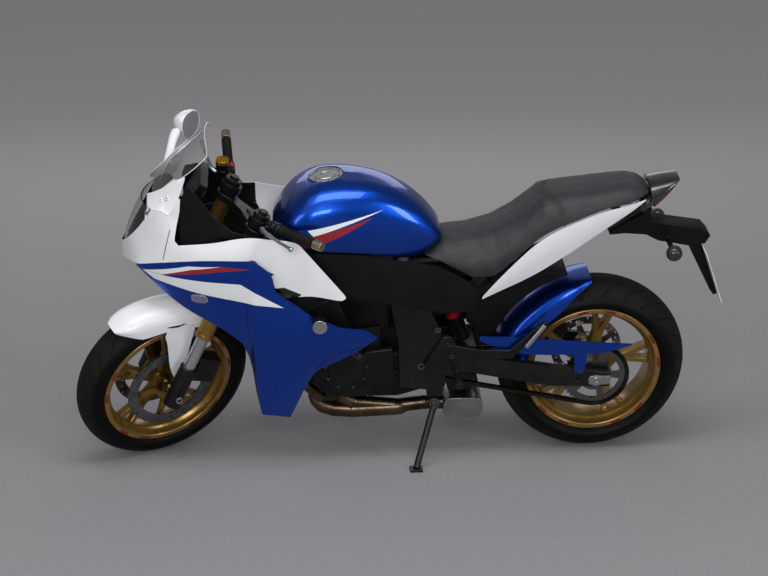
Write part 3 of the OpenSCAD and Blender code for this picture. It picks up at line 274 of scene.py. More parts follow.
def put(tree, kind, props=None, prefix="ShaderNode", **sockets):
    """Adds a node, sets its properties and its inputs, and links the inputs that are sockets."""
    node = tree.nodes.new(prefix + kind)
    for key, value in (props or {}).items():
        setattr(node, key, value)
    for key, value in sockets.items():
        name = key.replace("_", " ")
        target = node.inputs[int(key[1:])] if key[0] == "i" and key[1:].isdigit() else node.inputs[name]
        if isinstance(value, bpy.types.NodeSocket):
            tree.links.new(value, target)
        else:
            target.default_value = value
    return node


def calc(tree, how, *values):
    """A Math node's result."""
    return put(tree, "Math", {"operation": how}, **{f"i{i}": v for i, v in enumerate(values)}).outputs[0]


def ramp(tree, value, low, high, to_low=0.0, to_high=1.0, how="SMOOTHSTEP"):
    """A value mapped from one range to another, without going past the ends."""
    return put(tree, "MapRange", {"interpolation_type": how}, Value=value, i1=low, i2=high, i3=to_low,
               i4=to_high).outputs[0]


def times(tree, first, *others):
    """The product of some values."""
    for other in others:
        first = calc(tree, "MULTIPLY", first, other)
    return first


def blend(tree, share, first, second, how="MIX"):
    """Two colours mixed by a share."""
    ends = [v if isinstance(v, bpy.types.NodeSocket) else (*v[:3], 1) for v in (first, second)]
    return put(tree, "Mix", {"data_type": "RGBA", "blend_type": how}, Factor=share, i6=ends[0],
               i7=ends[1]).outputs[2]


def shade(tint, share):
    """A colour made darker or lighter."""
    return [c * share for c in tint]


def wire(tree, ends, **values):
    """Links values to the ends of those names."""
    for key, value in values.items():
        tree.links.new(value, ends[key.replace("_", " ")])


def noise(tree, place, scale, detail=3.0, rough=0.55):
    """A noise texture's value."""
    return put(tree, "TexNoise", Vector=place, Scale=scale, Detail=detail, Roughness=rough).outputs[0]


def group(name, inputs, outputs):
    """A shader node group with named sockets: the tree, its inputs and its output node."""
    tree = bpy.data.node_groups.new(name, "ShaderNodeTree")
    for label, kind, default in inputs:
        socket = tree.interface.new_socket(label, in_out="INPUT", socket_type="NodeSocket" + kind)
        if default is not None:
            socket.default_value = default
    for label, kind in outputs:
        tree.interface.new_socket(label, in_out="OUTPUT", socket_type="NodeSocket" + kind)
    return tree, tree.nodes.new("NodeGroupInput").outputs, tree.nodes.new("NodeGroupOutput").inputs


def grain_group():
    """Fine moulded or cast texture with a slow change of tone."""
    tree, given, out = group("Cast Grain", [("Place", "Vector", None), ("Scale", "Float", 900.0)],
                             [("Height", "Float"), ("Tone", "Float")])
    slow = times(tree, given["Scale"], 0.02)
    wire(tree, out, Height=noise(tree, given["Place"], given["Scale"], 4, 0.6),
         Tone=noise(tree, given["Place"], slow, 3))
    return tree


def dust_group():
    """Road dust that fades upwards and lies in patches."""
    tree, given, out = group("Road Dust", [
        ("Place", "Vector", None), ("Colour", "Color", (0, 0, 0, 1)), ("Dust", "Color", (0.2, 0.2, 0.2, 1)),
        ("Amount", "Float", 0.3), ("Top", "Float", 0.6)], [("Colour", "Color"), ("Mask", "Float")])
    height = put(tree, "SeparateXYZ", Vector=given["Place"]).outputs["Z"]
    low = ramp(tree, height, 0.0, given["Top"], 1.0, 0.0)
    patch = ramp(tree, noise(tree, given["Place"], 14.0, 6, 0.65), 0.35, 0.75)
    fine = ramp(tree, noise(tree, given["Place"], 260.0, 3, 0.6), 0.3, 0.8, 0.45, 1.0)
    mask = times(tree, low, patch, fine, given["Amount"])
    wire(tree, out, Colour=blend(tree, mask, given["Colour"], given["Dust"]), Mask=mask)
    return tree


def flake_group():
    """Metal flakes under a candy lacquer."""
    tree, given, out = group("Candy Flake", [
        ("Place", "Vector", None), ("Colour", "Color", (0, 0, 1, 1)), ("Amount", "Float", 0.35)],
        [("Colour", "Color"), ("Rough", "Float")])
    cells = put(tree, "TexVoronoi", Vector=given["Place"], Scale=1400.0).outputs["Color"]
    spark = ramp(tree, put(tree, "SeparateColor", Color=cells).outputs[0], 0.55, 1.0)
    light = blend(tree, 1.0, given["Colour"], (1.6, 1.6, 1.6), "MULTIPLY")
    toned = blend(tree, times(tree, spark, given["Amount"]), given["Colour"], light)
    slow = ramp(tree, noise(tree, given["Place"], 5.0, 2), 0.3, 0.7, 0.93, 1.05)
    grey = put(tree, "CombineColor", i0=slow, i1=slow, i2=slow).outputs[0]
    wire(tree, out, Colour=blend(tree, 1.0, toned, grey, "MULTIPLY"),
         Rough=ramp(tree, spark, 0.0, 1.0, 0.34, 0.24))
    return tree


def leather_group():
    """Pebbled vinyl with soft creases."""
    tree, given, out = group("Pebbled Vinyl", [("Place", "Vector", None), ("Scale", "Float", 420.0)],
                             [("Height", "Float"), ("Tone", "Float")])
    warp = put(tree, "TexNoise", Vector=given["Place"], Scale=200.0).outputs["Color"]
    bent = put(tree, "VectorMath", {"operation": "MULTIPLY_ADD"}, i0=warp, i1=(0.002,) * 3,
               i2=given["Place"]).outputs[0]
    cells = put(tree, "TexVoronoi", {"feature": "DISTANCE_TO_EDGE"}, Vector=bent, Scale=given["Scale"])
    wire(tree, out, Height=ramp(tree, cells.outputs["Distance"], 0.0, 0.22),
         Tone=noise(tree, given["Place"], 30.0, 4))
    return tree


def brushed_group():
    """Turned or drawn metal: fine streaks along one direction."""
    tree, given, out = group(
        "Drawn Metal", [("Place", "Vector", None), ("Stretch", "Vector", (60.0, 900.0, 900.0))],
        [("Height", "Float"), ("Rough", "Float")])
    pulled = put(tree, "VectorMath", {"operation": "MULTIPLY"}, i0=given["Place"],
                 i1=given["Stretch"]).outputs[0]
    streak = noise(tree, pulled, 1.0, 3, 0.6)
    wire(tree, out, Height=streak, Rough=ramp(tree, streak, 0.2, 0.8, 0.2, 0.42))
    return tree


GROUPS = {}


def shared(tree, name, **sockets):
    """Places one of the shared groups in a material."""
    makers = {"grain": grain_group, "dust": dust_group, "flake": flake_group, "leather": leather_group,
              "brushed": brushed_group}
    if name not in GROUPS:
        GROUPS[name] = makers[name]()
    return put(tree, "Group", {"node_tree": GROUPS[name]}, **sockets).outputs


def start(name, place=PARK, **plain):
    """A new material: its tree, its shader and the place of a point in the frame that is given."""
    mat = bpy.data.materials.new(name)
    mat.use_nodes = True
    tree = mat.node_tree
    shader = tree.nodes["Principled BSDF"]
    for key, value in plain.items():
        shader.inputs[key.replace("_", " ")].default_value = value
    turn = put(tree, "Mapping", {"vector_type": "TEXTURE"},
               Vector=put(tree, "TexCoord").outputs["Object"], Location=place.translation,
               Rotation=place.to_euler("XYZ"))
    return mat, tree, shader, turn.outputs[0]


def bump(tree, shader, height, strength, distance=0.001):
    """Relief from a height."""
    relief = put(tree, "Bump", Height=height, Strength=strength, Distance=distance)
    wire(tree, shader.inputs, Normal=relief.outputs[0])


def edge_curve(tree, along, points, box):
    """Height of the edge of a stripe, and of the painted shade in the vent opening, at each station along the
    machine.
    """
    x0, x1, z0, z1 = box
    node = put(tree, "FloatCurve", Value=ramp(tree, along, x0, x1, how="LINEAR"))
    curve = node.mapping.curves[0]
    spots = sorted(((x - x0 * 1000) / (x1 - x0) / 1000, (z - z0 * 1000) / (z1 - z0) / 1000)
                   for x, z in points)
    while len(curve.points) < len(spots):
        curve.points.new(0.5, 0.5)
    for point, spot in zip(curve.points, spots):
        point.location = spot
        point.handle_type = "VECTOR"
    node.mapping.update()
    return node.outputs[0]


# Stations and heights that the stripes and the painted shade of the vent opening lie between, how soft their
# edges are and how soon they end
STRIPE_BOX = (0.68, 1.50, 0.60, 1.00)
STRIPE_SOFT, STRIPE_END = 0.0022, 0.001


def stripe(tree, along, height, upper, lower):
    """Mask of a stripe between two edges, each a list of stations and heights in millimetres; the painted
    shade of the vent opening is masked the same way.
    """
    level = ramp(tree, height, STRIPE_BOX[2], STRIPE_BOX[3], how="LINEAR")
    top, low = (edge_curve(tree, along, e, STRIPE_BOX) for e in (upper, lower))
    over = ramp(tree, calc(tree, "SUBTRACT", top, level), -STRIPE_SOFT, STRIPE_SOFT)
    under = ramp(tree, calc(tree, "SUBTRACT", level, low), -STRIPE_SOFT, STRIPE_SOFT)
    ends = [p[0] / 1000 for p in upper]
    starts = ramp(tree, along, min(ends), min(ends) + STRIPE_END)
    stops = ramp(tree, along, max(ends) - STRIPE_END, max(ends), 1.0, 0.0)
    return times(tree, over, under, starts, stops)


# Stripes: colour, upper edge and lower edge, each a list of stations and heights
STRIPES = [
    ("white", [(1469, 751), (1408, 749), (1368, 747), (1288, 744), (1160, 738), (1025, 653.5)],
     [(1469, 751), (1432, 727), (1386, 719), (1296, 698), (1168, 674), (1025, 653.5)]),
    ("white", [(1469, 751), (1414, 767), (1320, 794), (1217, 800)],
     [(1469, 751), (1408, 750), (1313, 782), (1217, 800)]),
    ("red", [(1410, 749), (1313, 782), (1215, 800), (1125, 791)],
     [(1410, 749), (1368, 756), (1290, 770), (1216, 782), (1125, 791)]),
    ("white", [(947, 891), (707, 938)], [(947, 891), (929, 871), (707, 938)]),
    ("red", [(976, 850), (929, 871), (741, 918)], [(976, 824), (937, 828), (836, 870), (741, 918)]),
]

# Painted shade: the dark opening behind the nose, painted on the white cowl in the colour of the plastic
PAINTED_VENT_SHADE = [("plastic", [(1066, 714), (1024, 719), (970, 691)], [(1066, 709), (999, 676), (970, 688)])]


def paint(name, tint, colours, stripes, flake):
    """Lacquered paint, candy with flakes or plain, with stripes on it; on the white, the painted shade of the
    vent opening goes on the same way.
    """
    mat, tree, shader, place = start(name, Coat_Roughness=0.03, Coat_Weight=1.0, Coat_IOR=1.3)
    base = shared(tree, "flake", Place=place, Colour=(*tint, 1), Amount=flake)
    spot = put(tree, "SeparateXYZ", Vector=place).outputs
    tone, stripe_and_shade_mask = base["Colour"], 0.0
    # On the white these masks paint shade into the vent opening behind the nose.
    for which, upper, lower in stripes:
        mask = stripe(tree, spot["X"], spot["Z"], upper, lower)
        tone = blend(tree, mask, tone, getattr(colours, which))
        stripe_and_shade_mask = calc(tree, "MAXIMUM", stripe_and_shade_mask, mask)
    dust = shared(tree, "dust", Place=place, Colour=tone, Dust=(*colours.dust, 1), Amount=0.05, Top=0.6)
    wire(tree, shader.inputs, Base_Color=dust["Colour"], Roughness=base["Rough"])
    if flake:
        wire(tree, shader.inputs, Metallic=ramp(tree, stripe_and_shade_mask, 0.0, 1.0, 0.97, 0.0, "LINEAR"))
    return mat


def solid(name, tint, colours, rough, metal=0.0, grain=900.0, relief=0.25, dust=0.25, top=0.7, coat=0.0,
          gloss=0.5):
    """Moulded, cast or coated surface with grain, a slow change of tone and dust."""
    mat, tree, shader, spot = start(name, Metallic=metal, Coat_Weight=coat, Coat_Roughness=0.08,
                                    Specular_IOR_Level=gloss)
    fine = shared(tree, "grain", Place=spot, Scale=grain)
    spread = 0.12
    light = [min(1, c) for c in shade(tint, 1 + spread)]
    tone = blend(tree, ramp(tree, fine["Tone"], 0.3, 0.7), shade(tint, 1 - spread), light)
    dirt = shared(tree, "dust", Place=spot, Colour=tone, Dust=(*colours.dust, 1), Amount=dust, Top=top)
    even = ramp(tree, fine["Tone"], 0.2, 0.8, rough * 0.85, rough * 1.15)
    wire(tree, shader.inputs, Base_Color=dirt["Colour"],
         Roughness=calc(tree, "ADD", even, times(tree, dirt["Mask"], 0.5)))
    bump(tree, shader, fine["Height"], relief, 0.0004)
    return mat


def drawn(name, tint, colours, stretch, dust=0.15, stain=None, relief=0.12):
    """Bare turned, drawn or brushed metal, stained in places."""
    mat, tree, shader, spot = start(name, Metallic=1.0)
    streak = shared(tree, "brushed", Place=spot, Stretch=stretch)
    slow = ramp(tree, noise(tree, spot, 9.0, 4), 0.3, 0.7)
    tone = blend(tree, slow, tint, linear(stain) if stain else shade(tint, 0.82))
    dirt = shared(tree, "dust", Place=spot, Colour=tone, Dust=(*colours.dust, 1), Amount=dust, Top=0.6)
    wire(tree, shader.inputs, Base_Color=dirt["Colour"], Roughness=streak["Rough"])
    bump(tree, shader, streak["Height"], relief, 0.0003)
    return mat


def about_axle(tree, spot):
    """Parts of a place in a wheel's frame, and its distance from the axle."""
    part = put(tree, "SeparateXYZ", Vector=spot).outputs
    flat = put(tree, "CombineXYZ", i0=part["X"], i2=part["Z"]).outputs[0]
    return part, put(tree, "VectorMath", {"operation": "LENGTH"}, i0=flat).outputs["Value"]


def wheel_gold(name, colours, place, width):
    """Gold wheel with a broken red stripe on the rim edge."""
    mat, tree, shader, spot = start(name, place, Metallic=0.75, Coat_Weight=0.5, Coat_Roughness=0.12)
    part, radius = about_axle(tree, spot)
    inner, outer = ramp(tree, radius, 0.2150, 0.2155), ramp(tree, radius, 0.2245, 0.2250, 1.0, 0.0)
    side = ramp(tree, calc(tree, "ABSOLUTE", part["Y"]), width / 2 - 0.010, width / 2 - 0.008)
    turn = calc(tree, "ARCTAN2", part["Z"], part["X"])
    dash = ramp(tree, calc(tree, "SINE", times(tree, turn, 5.0)), -0.52, -0.50)
    bits = ramp(tree, calc(tree, "SINE", times(tree, turn, 15.0)), 0.30, 0.34)
    fine = shared(tree, "grain", Place=spot, Scale=1200.0)
    gold = blend(tree, ramp(tree, fine["Tone"], 0.3, 0.7), shade(colours.gold, 0.88), colours.gold)
    red = blend(tree, bits, colours.rim_pale, colours.rim_red)
    tone = blend(tree, times(tree, inner, outer, side, dash), gold, red)
    grime = times(tree, ramp(tree, noise(tree, spot, 22.0, 6), 0.4, 0.8), 0.35)
    wire(tree, shader.inputs, Base_Color=blend(tree, grime, tone, shade(colours.gold, 0.3)),
         Roughness=ramp(tree, fine["Tone"], 0.2, 0.8, 0.26, 0.38))
    bump(tree, shader, fine["Height"], 0.15, 0.0003)
    return mat


def disc_finish(name, colours, place):
    """Ground steel ring on a gold spider."""
    mat, tree, shader, spot = start(name, place, Metallic=1.0)
    ring = ramp(tree, about_axle(tree, spot)[1], DISC_RING - 0.0006, DISC_RING + 0.0006)
    streak = shared(tree, "brushed", Place=spot, Stretch=(400.0, 400.0, 400.0))
    worn = ramp(tree, noise(tree, spot, 40.0, 4), 0.3, 0.7)
    steel = blend(tree, worn, linear("5e6062"), linear("7a7c7e"))
    wire(tree, shader.inputs, Base_Color=blend(tree, ring, colours.gold, steel), Roughness=streak["Rough"])
    bump(tree, shader, streak["Height"], 0.1, 0.0003)
    return mat


def tyre_rubber(name, colours, place):
    """Tyre rubber: dusty tread, darker moulded sidewall."""
    mat, tree, shader, spot = start(name, place, Specular_IOR_Level=0.12)
    fine = shared(tree, "grain", Place=spot, Scale=700.0)
    tread = ramp(tree, about_axle(tree, spot)[1], 0.265, 0.285)
    tone = blend(tree, ramp(tree, fine["Tone"], 0.25, 0.75), shade(colours.rubber, 0.8), colours.rubber)
    worn = times(tree, ramp(tree, noise(tree, spot, 120.0, 5), 0.2, 0.9, 0.5, 1.0), tread, 0.055)
    wire(tree, shader.inputs, Base_Color=blend(tree, worn, tone, colours.dust),
         Roughness=ramp(tree, tread, 0.0, 1.0, 0.5, 0.68))
    bump(tree, shader, fine["Height"], 0.3, 0.0005)
    return mat


def vinyl(name, colours):
    """Grained seat vinyl."""
    mat, tree, shader, spot = start(name, Specular_IOR_Level=0.42)
    hide = shared(tree, "leather", Place=spot, Scale=420.0)
    tone = blend(tree, ramp(tree, hide["Tone"], 0.3, 0.7), shade(colours.vinyl, 0.8),
                 shade(colours.vinyl, 1.2))
    wire(tree, shader.inputs, Base_Color=tone, Roughness=ramp(tree, hide["Height"], 0.0, 1.0, 0.62, 0.46))
    bump(tree, shader, hide["Height"], 0.28, 0.0005)
    return mat


def lens(name, tint, colours, clear, rough, ribs=0.0, dust=0.12):
    """Coloured or clear moulded lens with optional vertical ribs."""
    mat, tree, shader, spot = start(name, Transmission_Weight=clear, Metallic=0.0, IOR=1.47)
    dirt = shared(tree, "dust", Place=spot, Colour=(*tint, 1), Dust=(*colours.dust, 1), Amount=dust, Top=1.3)
    wire(tree, shader.inputs, Base_Color=dirt["Colour"],
         Roughness=ramp(tree, dirt["Mask"], 0.0, 0.3, rough, rough + 0.2))
    if ribs:
        wave = put(tree, "TexWave", {"bands_direction": "X"}, Vector=spot, Scale=ribs, Distortion=0.0)
        bump(tree, shader, wave.outputs[1], 0.35, 0.0006)
    return mat


def all_materials(c):
    """Every finish of the machine by its slot's name."""
    rows = [
        (paint, "blue_paint", c.blue, dict(stripes=STRIPES, flake=0.4)),
        # Its marks are the painted shade of the vent opening behind the nose.
        (paint, "white_paint", c.white, dict(stripes=PAINTED_VENT_SHADE, flake=0.0)),
        (solid, "panel_inner", "0b0b0c", dict(rough=0.6, dust=0.08, gloss=0.2)),
        (solid, "black_metal", c.black,
         dict(rough=0.36, grain=700, relief=0.2, dust=0.08, top=0.6, gloss=0.3)),
        (solid, "engine_black", "080809",
         dict(rough=0.42, grain=420, relief=0.4, dust=0.12, top=0.6, gloss=0.22)),
        (solid, "black_plastic", c.plastic,
         dict(rough=0.42, grain=1100, relief=0.3, dust=0.03, top=1.0, gloss=0.2)),
        (solid, "gloss_plastic", "1c1d1f", dict(rough=0.25, relief=0.05, dust=0.06, top=1.0, coat=0.8)),
        (solid, "gold_metal", c.gold,
         dict(rough=0.3, metal=0.85, grain=1200, relief=0.1, dust=0.15, top=0.5)),
        (solid, "reservoir_gold", "c9962c", dict(rough=0.26, metal=0.9, grain=1200, relief=0.1, dust=0.05)),
        (solid, "caliper_metal", "1c1a18", dict(rough=0.4, metal=0.5, dust=0.1)),
        (solid, "shock_red", "a31a1c", dict(rough=0.35, metal=0.1, relief=0.1, dust=0.2)),
        (solid, "grip_rubber", c.rubber,
         dict(rough=0.68, grain=1500, relief=0.5, dust=0.08, top=1.4, gloss=0.3)),
        (solid, "thread", "2e2f31", dict(rough=0.7, grain=2500, relief=0.5, dust=0.1)),
        (solid, "plate_white", "e2e2de", dict(rough=0.4, relief=0.1, dust=0.2)),
        (drawn, "bronze_metal", c.bronze, dict(stretch=(700, 60, 700))),
        (drawn, "chrome_steel", "c8c9cb", dict(stretch=(900, 900, 40), dust=0.1)),
        (drawn, "bare_aluminium", "b5b7ba", dict(stretch=(300, 500, 300))),
        (drawn, "exhaust_steel", "665846",
         dict(stretch=(80, 500, 500), dust=0.2, stain="40352a", relief=0.02)),
        (drawn, "silencer_steel", "a9a8a4",
         dict(stretch=(50, 800, 800), dust=0.2, stain="8c8a86", relief=0.04)),
        (drawn, "brake_steel", "828486", dict(stretch=(500, 500, 500), dust=0.12)),
        (drawn, "chain_steel", "3a3733", dict(stretch=(400, 400, 400), dust=0.2, stain="22201d")),
        (drawn, "mirror_silver", "d8dadd", dict(stretch=(20, 20, 20), dust=0.05)),
        (drawn, "dark_steel", shade(c.steel, 0.45), dict(stretch=(300, 300, 300), dust=0.2)),
        (lens, "red_lens", "b3141c", dict(clear=0.55, rough=0.05, ribs=60)),
        (lens, "smoke_lens", "3a3a3c", dict(clear=0.5, rough=0.05, ribs=90)),
        (lens, "clear_indicator", "dfe2e4", dict(clear=0.85, rough=0.06, ribs=70)),
        (lens, "headlamp_lens", "fafcfc", dict(clear=1.0, rough=0.01, dust=0.02)),
        (lens, "clear_screen", "fafcfc", dict(clear=1.0, rough=0.01, dust=0.02)),
        (lens, "screen_edge", "f4f8f8", dict(clear=0.35, rough=0.25, dust=0.0)),
    ]
    ready = {name: make(name, linear(tint) if isinstance(tint, str) else tint, c, **more)
             for make, name, tint, more in rows}
    for end, place, width in (("front", FRONT_WHEEL, FRONT_RIM), ("rear", REAR_WHEEL, REAR_RIM)):
        ready[end + "_tyre"] = tyre_rubber(end + "_tyre", c, place)
        ready[end + "_gold"] = wheel_gold(end + "_gold", c, place, width)
    ready["front_disc"] = disc_finish("front_disc", c, FRONT_WHEEL)
    ready["seat_vinyl"] = vinyl("seat_vinyl", c)
    return ready


MATERIALS = {}
BODY = {name: (body_of(node) or ["chassis"])[0] for name, node in frame["nodes"].items()}


# Mesh helpers

def keep(name, mesh, body, slot, materials=None, stands_for=()):
    """Makes a finished piece of a mesh, riding on its body, in its slot's finish where no other is given."""
    piece = bpy.data.objects.new(name, mesh)
    bpy.context.scene.collection.objects.link(piece)
    for label in (materials or [slot])[len(mesh.materials):]:
        mesh.materials.append(MATERIALS[label])
    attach(piece, body)
    if stands_for:
        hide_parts(*stands_for)
    return piece


def merged(node):
    """A copy of a CAD node's mesh with its corners joined."""
    bm = bmesh.new()
    bm.from_mesh(frame["nodes"][node].data)
    bmesh.ops.remove_doubles(bm, verts=bm.verts, dist=0.00002)
    return bm


def to_mesh(bm, name):
    """Ends a bmesh as a mesh with smooth faces and without old normals."""
    for face in bm.faces:
        face.smooth = True
    mesh = bpy.data.meshes.new(name)
    bm.to_mesh(mesh)
    bm.free()
    for layer in ("custom_normal", "sharp_face"):
        if layer in mesh.attributes:
            mesh.attributes.remove(mesh.attributes[layer])
    return mesh


def finished(name, bm, body, slot, materials=None, stands_for=(), sharp=None):
    """Ends a bmesh as a finished piece. Edges past the angle sharp, in degrees, stay sharp."""
    mesh = to_mesh(bm, name)
    if sharp:
        mesh.set_sharp_from_angle(angle=math.radians(sharp))
    return keep(name, mesh, body, slot, materials, stands_for)


def smoothed(piece):
    """Makes a piece a subdivision surface."""
    smooth = piece.modifiers.new("Smooth", "SUBSURF")
    smooth.levels = smooth.render_levels = 2


def outward(bm):
    """Turns the faces of closed shapes outwards."""
    bmesh.ops.recalc_face_normals(bm, faces=bm.faces)
    return bm


def band(bm, a, b):
    """Faces between two rings of corners."""
    for i in range(len(a)):
        j = (i + 1) % len(a)
        bm.faces.new((a[i], b[i], b[j], a[j]))


def tube(bm, rings):
    """A closed skin through rings of corners."""
    for a, b in zip(rings, rings[1:]):
        band(bm, a, b)
    bm.faces.new(rings[0])
    bm.faces.new(rings[-1])


def creased(bm, sharp, soft):
    """Marks corners for a subdivision surface: full creases past sharp, part creases past soft."""
    layer = bm.edges.layers.float.get("crease_edge") or bm.edges.layers.float.new("crease_edge")
    points = bm.verts.layers.float.get("crease_vert") or bm.verts.layers.float.new("crease_vert")
    for edge in bm.edges:
        if len(edge.link_faces) != 2:
            continue
        angle = math.degrees(edge.calc_face_angle(0))
        if angle > sharp:
            edge[layer] = 1.0
            edge.smooth = False
        elif angle > soft:
            edge[layer] = 0.35
    for vert in bm.verts:
        rims = [e for e in vert.link_edges if e[layer] == 1.0]
        if len(rims) == 2:
            ways = [(e.other_vert(vert).co - vert.co).normalized() for e in rims]
            if ways[0].angle(-ways[1], 0) > math.radians(50):
                vert[points] = 1.0


def skin(node, materials, sharp=52, soft=24, inside=None, slot=None, rim=False):
    """A panel as a subdivision surface over the CAD node's own corners.
    inside tells, of a face's middle and normal in the upright frame, whether it is the hidden side.
    rim gives the narrow faces of a sheet's edge the second finish."""
    bm = merged(node)
    bmesh.ops.join_triangles(bm, faces=bm.faces, angle_face_threshold=math.radians(50),
                             angle_shape_threshold=math.radians(70))
    creased(bm, sharp, soft)
    for face in bm.faces:
        if rim:
            bent = sum(len(e.link_faces) == 2 and e.calc_face_angle(0) > math.radians(sharp)
                       for e in face.edges)
            face.material_index = int(bent >= 2)
        elif inside:
            mid, way = UPRIGHT @ face.calc_center_median(), UPRIGHT.to_3x3() @ face.normal
            face.material_index = int(inside(mid, way))
    smoothed(finished(node + "_skin", bm, BODY[node], slot or materials[0], materials, (node,)))


def bevelled(node, materials, width, slot=None, segments=2, cuts=(), choose=None, shape=None):
    """A machined, cast or bent piece: the CAD node with its edges rounded.
    cuts are planes, each a point and a normal, between finishes; choose gives a face's finish by its middle.
    shape changes the corners first."""
    bm = merged(node)
    if shape:
        shape(bm)
    bmesh.ops.dissolve_limit(bm, angle_limit=math.radians(0.6), verts=bm.verts, edges=bm.edges,
                             use_dissolve_boundaries=False)
    for point, way in cuts:
        bmesh.ops.bisect_plane(bm, geom=bm.verts[:] + bm.edges[:] + bm.faces[:], plane_co=point, plane_no=way)
    if choose:
        for face in bm.faces:
            face.material_index = choose(face.calc_center_median())
    piece = finished(node + "_dressed", bm, BODY[node], slot or materials[0], materials, (node,), 60)
    edge = piece.modifiers.new("Edges", "BEVEL")
    edge.width = width
    edge.segments = segments
    edge.limit_method = "ANGLE"
    edge.angle_limit = math.radians(38)
    edge.use_clamp_overlap = False


def join(whole, part):
    """Adds one bmesh to another and frees it."""
    mesh = bpy.data.meshes.new("part")
    part.to_mesh(mesh)
    part.free()
    whole.from_mesh(mesh)
    bpy.data.meshes.remove(mesh)


def lathe(profile, matrix, steps=48, closed=False):
    """A bmesh turned about the y axis of a frame from a profile of (radius, y) pairs."""
    bm = bmesh.new()
    rings = [[bm.verts.new(matrix @ Vector((r * math.cos(t), y, r * math.sin(t)))) for t in turns(steps)]
             for r, y in profile]
    if closed:
        for a, b in zip(rings, rings[1:] + rings[:1]):
            band(bm, a, b)
    else:
        tube(bm, rings)
    bmesh.ops.remove_doubles(bm, verts=bm.verts, dist=1e-6)
    return outward(bm)


def tyre(node, wheel, radius, width, rim_w, repeats):
    """A road tyre: grooves swept along the columns of its own mesh, moulded rings on the sidewall."""
    crown = width * (0.53 if radius < 0.31 else 0.54)
    half = math.asin(width / 2 / crown)
    seat = 0.216
    depth = bpy.context.scene.bike_sizes.groove
    rows = []
    wall = 9
    for side in (-1, 1):
        part = []
        end = Vector((radius - crown + crown * math.cos(half), side * width / 2))
        foot = Vector((seat + 0.013, side * (rim_w / 2 - 0.001)))
        for i in range(wall):
            s = i / wall
            spot = foot.lerp(end, s)
            spot.y += side * 0.004 * math.sin(math.pi * s) + side * (0.0009 if i in (3, 6) else 0)
            part.append((spot.x, spot.y, None))
        rows.append(part)
    arc = 44
    tread = [(radius - crown + crown * math.cos(half * t), crown * math.sin(half * t), t)
             for t in (2 * i / arc - 1 for i in range(arc + 1))]
    lining = crown - 0.014
    inner = [(radius - crown + lining * math.cos(half * t), lining * math.sin(half * t), None)
             for t in (1 - 2 * i / 12 for i in range(13))]
    profile = rows[0] + tread + rows[1][::-1] + inner
    bm = bmesh.new()
    grid = []
    for k in range(repeats):
        for share, cut in TREAD_COLUMNS:
            column = []
            for r, y, t in profile:
                lag = 0 if t is None else 0.9 * (1 - abs(t)) ** 1.5
                turn = 2 * math.pi * (k + share + lag * 1.6) / repeats
                if t is not None and cut and t * cut > 0:
                    way = abs(t)
                    deep = depth * min(1, max(0, (way - 0.10) / 0.06)) * min(1, max(0, (0.86 - way) / 0.08))
                    r, y = r - deep * math.cos(half * t), y - deep * math.sin(half * t)
                column.append(bm.verts.new(wheel @ Vector((r * math.cos(turn), y, r * math.sin(turn)))))
            grid.append(column)
    for a, b in zip(grid, grid[1:] + grid[:1]):
        band(bm, a, b)
    finished(node + "_tread", outward(bm), BODY[node], "tyre_rubber", [node], (node,), 40)


# Geometry node trees for what repeats

def instancer(name, sizes, shape):
    """A tree that puts a shape on each point, turned by the point's own attribute and scaled by another."""
    tree = bpy.data.node_groups.new(name, "GeometryNodeTree")
    tree.interface.new_socket("Geometry", in_out="INPUT", socket_type="NodeSocketGeometry")
    for label, value in sizes:
        tree.interface.new_socket(label, in_out="INPUT", socket_type="NodeSocketFloat").default_value = value
    tree.interface.new_socket("Material", in_out="INPUT", socket_type="NodeSocketMaterial")
    tree.interface.new_socket("Geometry", in_out="OUTPUT", socket_type="NodeSocketGeometry")
    given = tree.nodes.new("NodeGroupInput").outputs
    out = tree.nodes.new("NodeGroupOutput")
    turn = geo(tree, "InputNamedAttribute", {"data_type": "FLOAT_VECTOR"}, Name="turn")
    grow = geo(tree, "InputNamedAttribute", {"data_type": "FLOAT"}, Name="grow")
    spread = geo(tree, "InstanceOnPoints", Points=given["Geometry"], Instance=shape(tree, given),
                 Rotation=turn.outputs[0], Scale=grow.outputs[0])
    real = geo(tree, "RealizeInstances", Geometry=spread.outputs[0])
    done = geo(tree, "SetMaterial", Geometry=real.outputs[0], Material=given["Material"])
    tree.links.new(done.outputs[0], out.inputs[0])
    return tree


def geo(tree, kind, props=None, **sockets):
    """A geometry node with its inputs set or linked."""
    return put(tree, kind, props, "GeometryNode", **sockets)


def scatter(name, tree, places, material, body, slot, sizes=None, stands_for=()):
    """Runs an instancer over places, each a matrix and a scale, and keeps the result as a plain mesh."""
    points = bpy.data.meshes.new(name + "_points")
    points.from_pydata([m.translation for m, _ in places], [], [])
    for label, kind in (("turn", "FLOAT_VECTOR"), ("grow", "FLOAT")):
        points.attributes.new(label, kind, "POINT")
    turn, grow = points.attributes["turn"], points.attributes["grow"]
    for i, (matrix, scale) in enumerate(places):
        turn.data[i].vector = matrix.to_euler("XYZ")
        grow.data[i].value = scale
    seed = bpy.data.objects.new(name + "_seed", points)
    bpy.context.scene.collection.objects.link(seed)
    run = seed.modifiers.new("Repeat", "NODES")
    run.node_group = tree
    for item in tree.interface.items_tree:
        if item.in_out == "INPUT" and item.name == "Material":
            run[item.identifier] = MATERIALS[material]
        elif item.in_out == "INPUT" and sizes and item.name in sizes:
            run[item.identifier] = sizes[item.name]
    ready = seed.evaluated_get(bpy.context.evaluated_depsgraph_get())
    mesh = bpy.data.meshes.new_from_object(ready)
    seed.modifiers.remove(run)
    bpy.data.objects.remove(seed)
    mesh.name = name
    for attribute in ("turn", "grow"):
        if attribute in mesh.attributes:
            mesh.attributes.remove(mesh.attributes[attribute])
    keep(name, mesh, body, slot, [material], stands_for)
    mesh.set_sharp_from_angle(angle=math.radians(35))


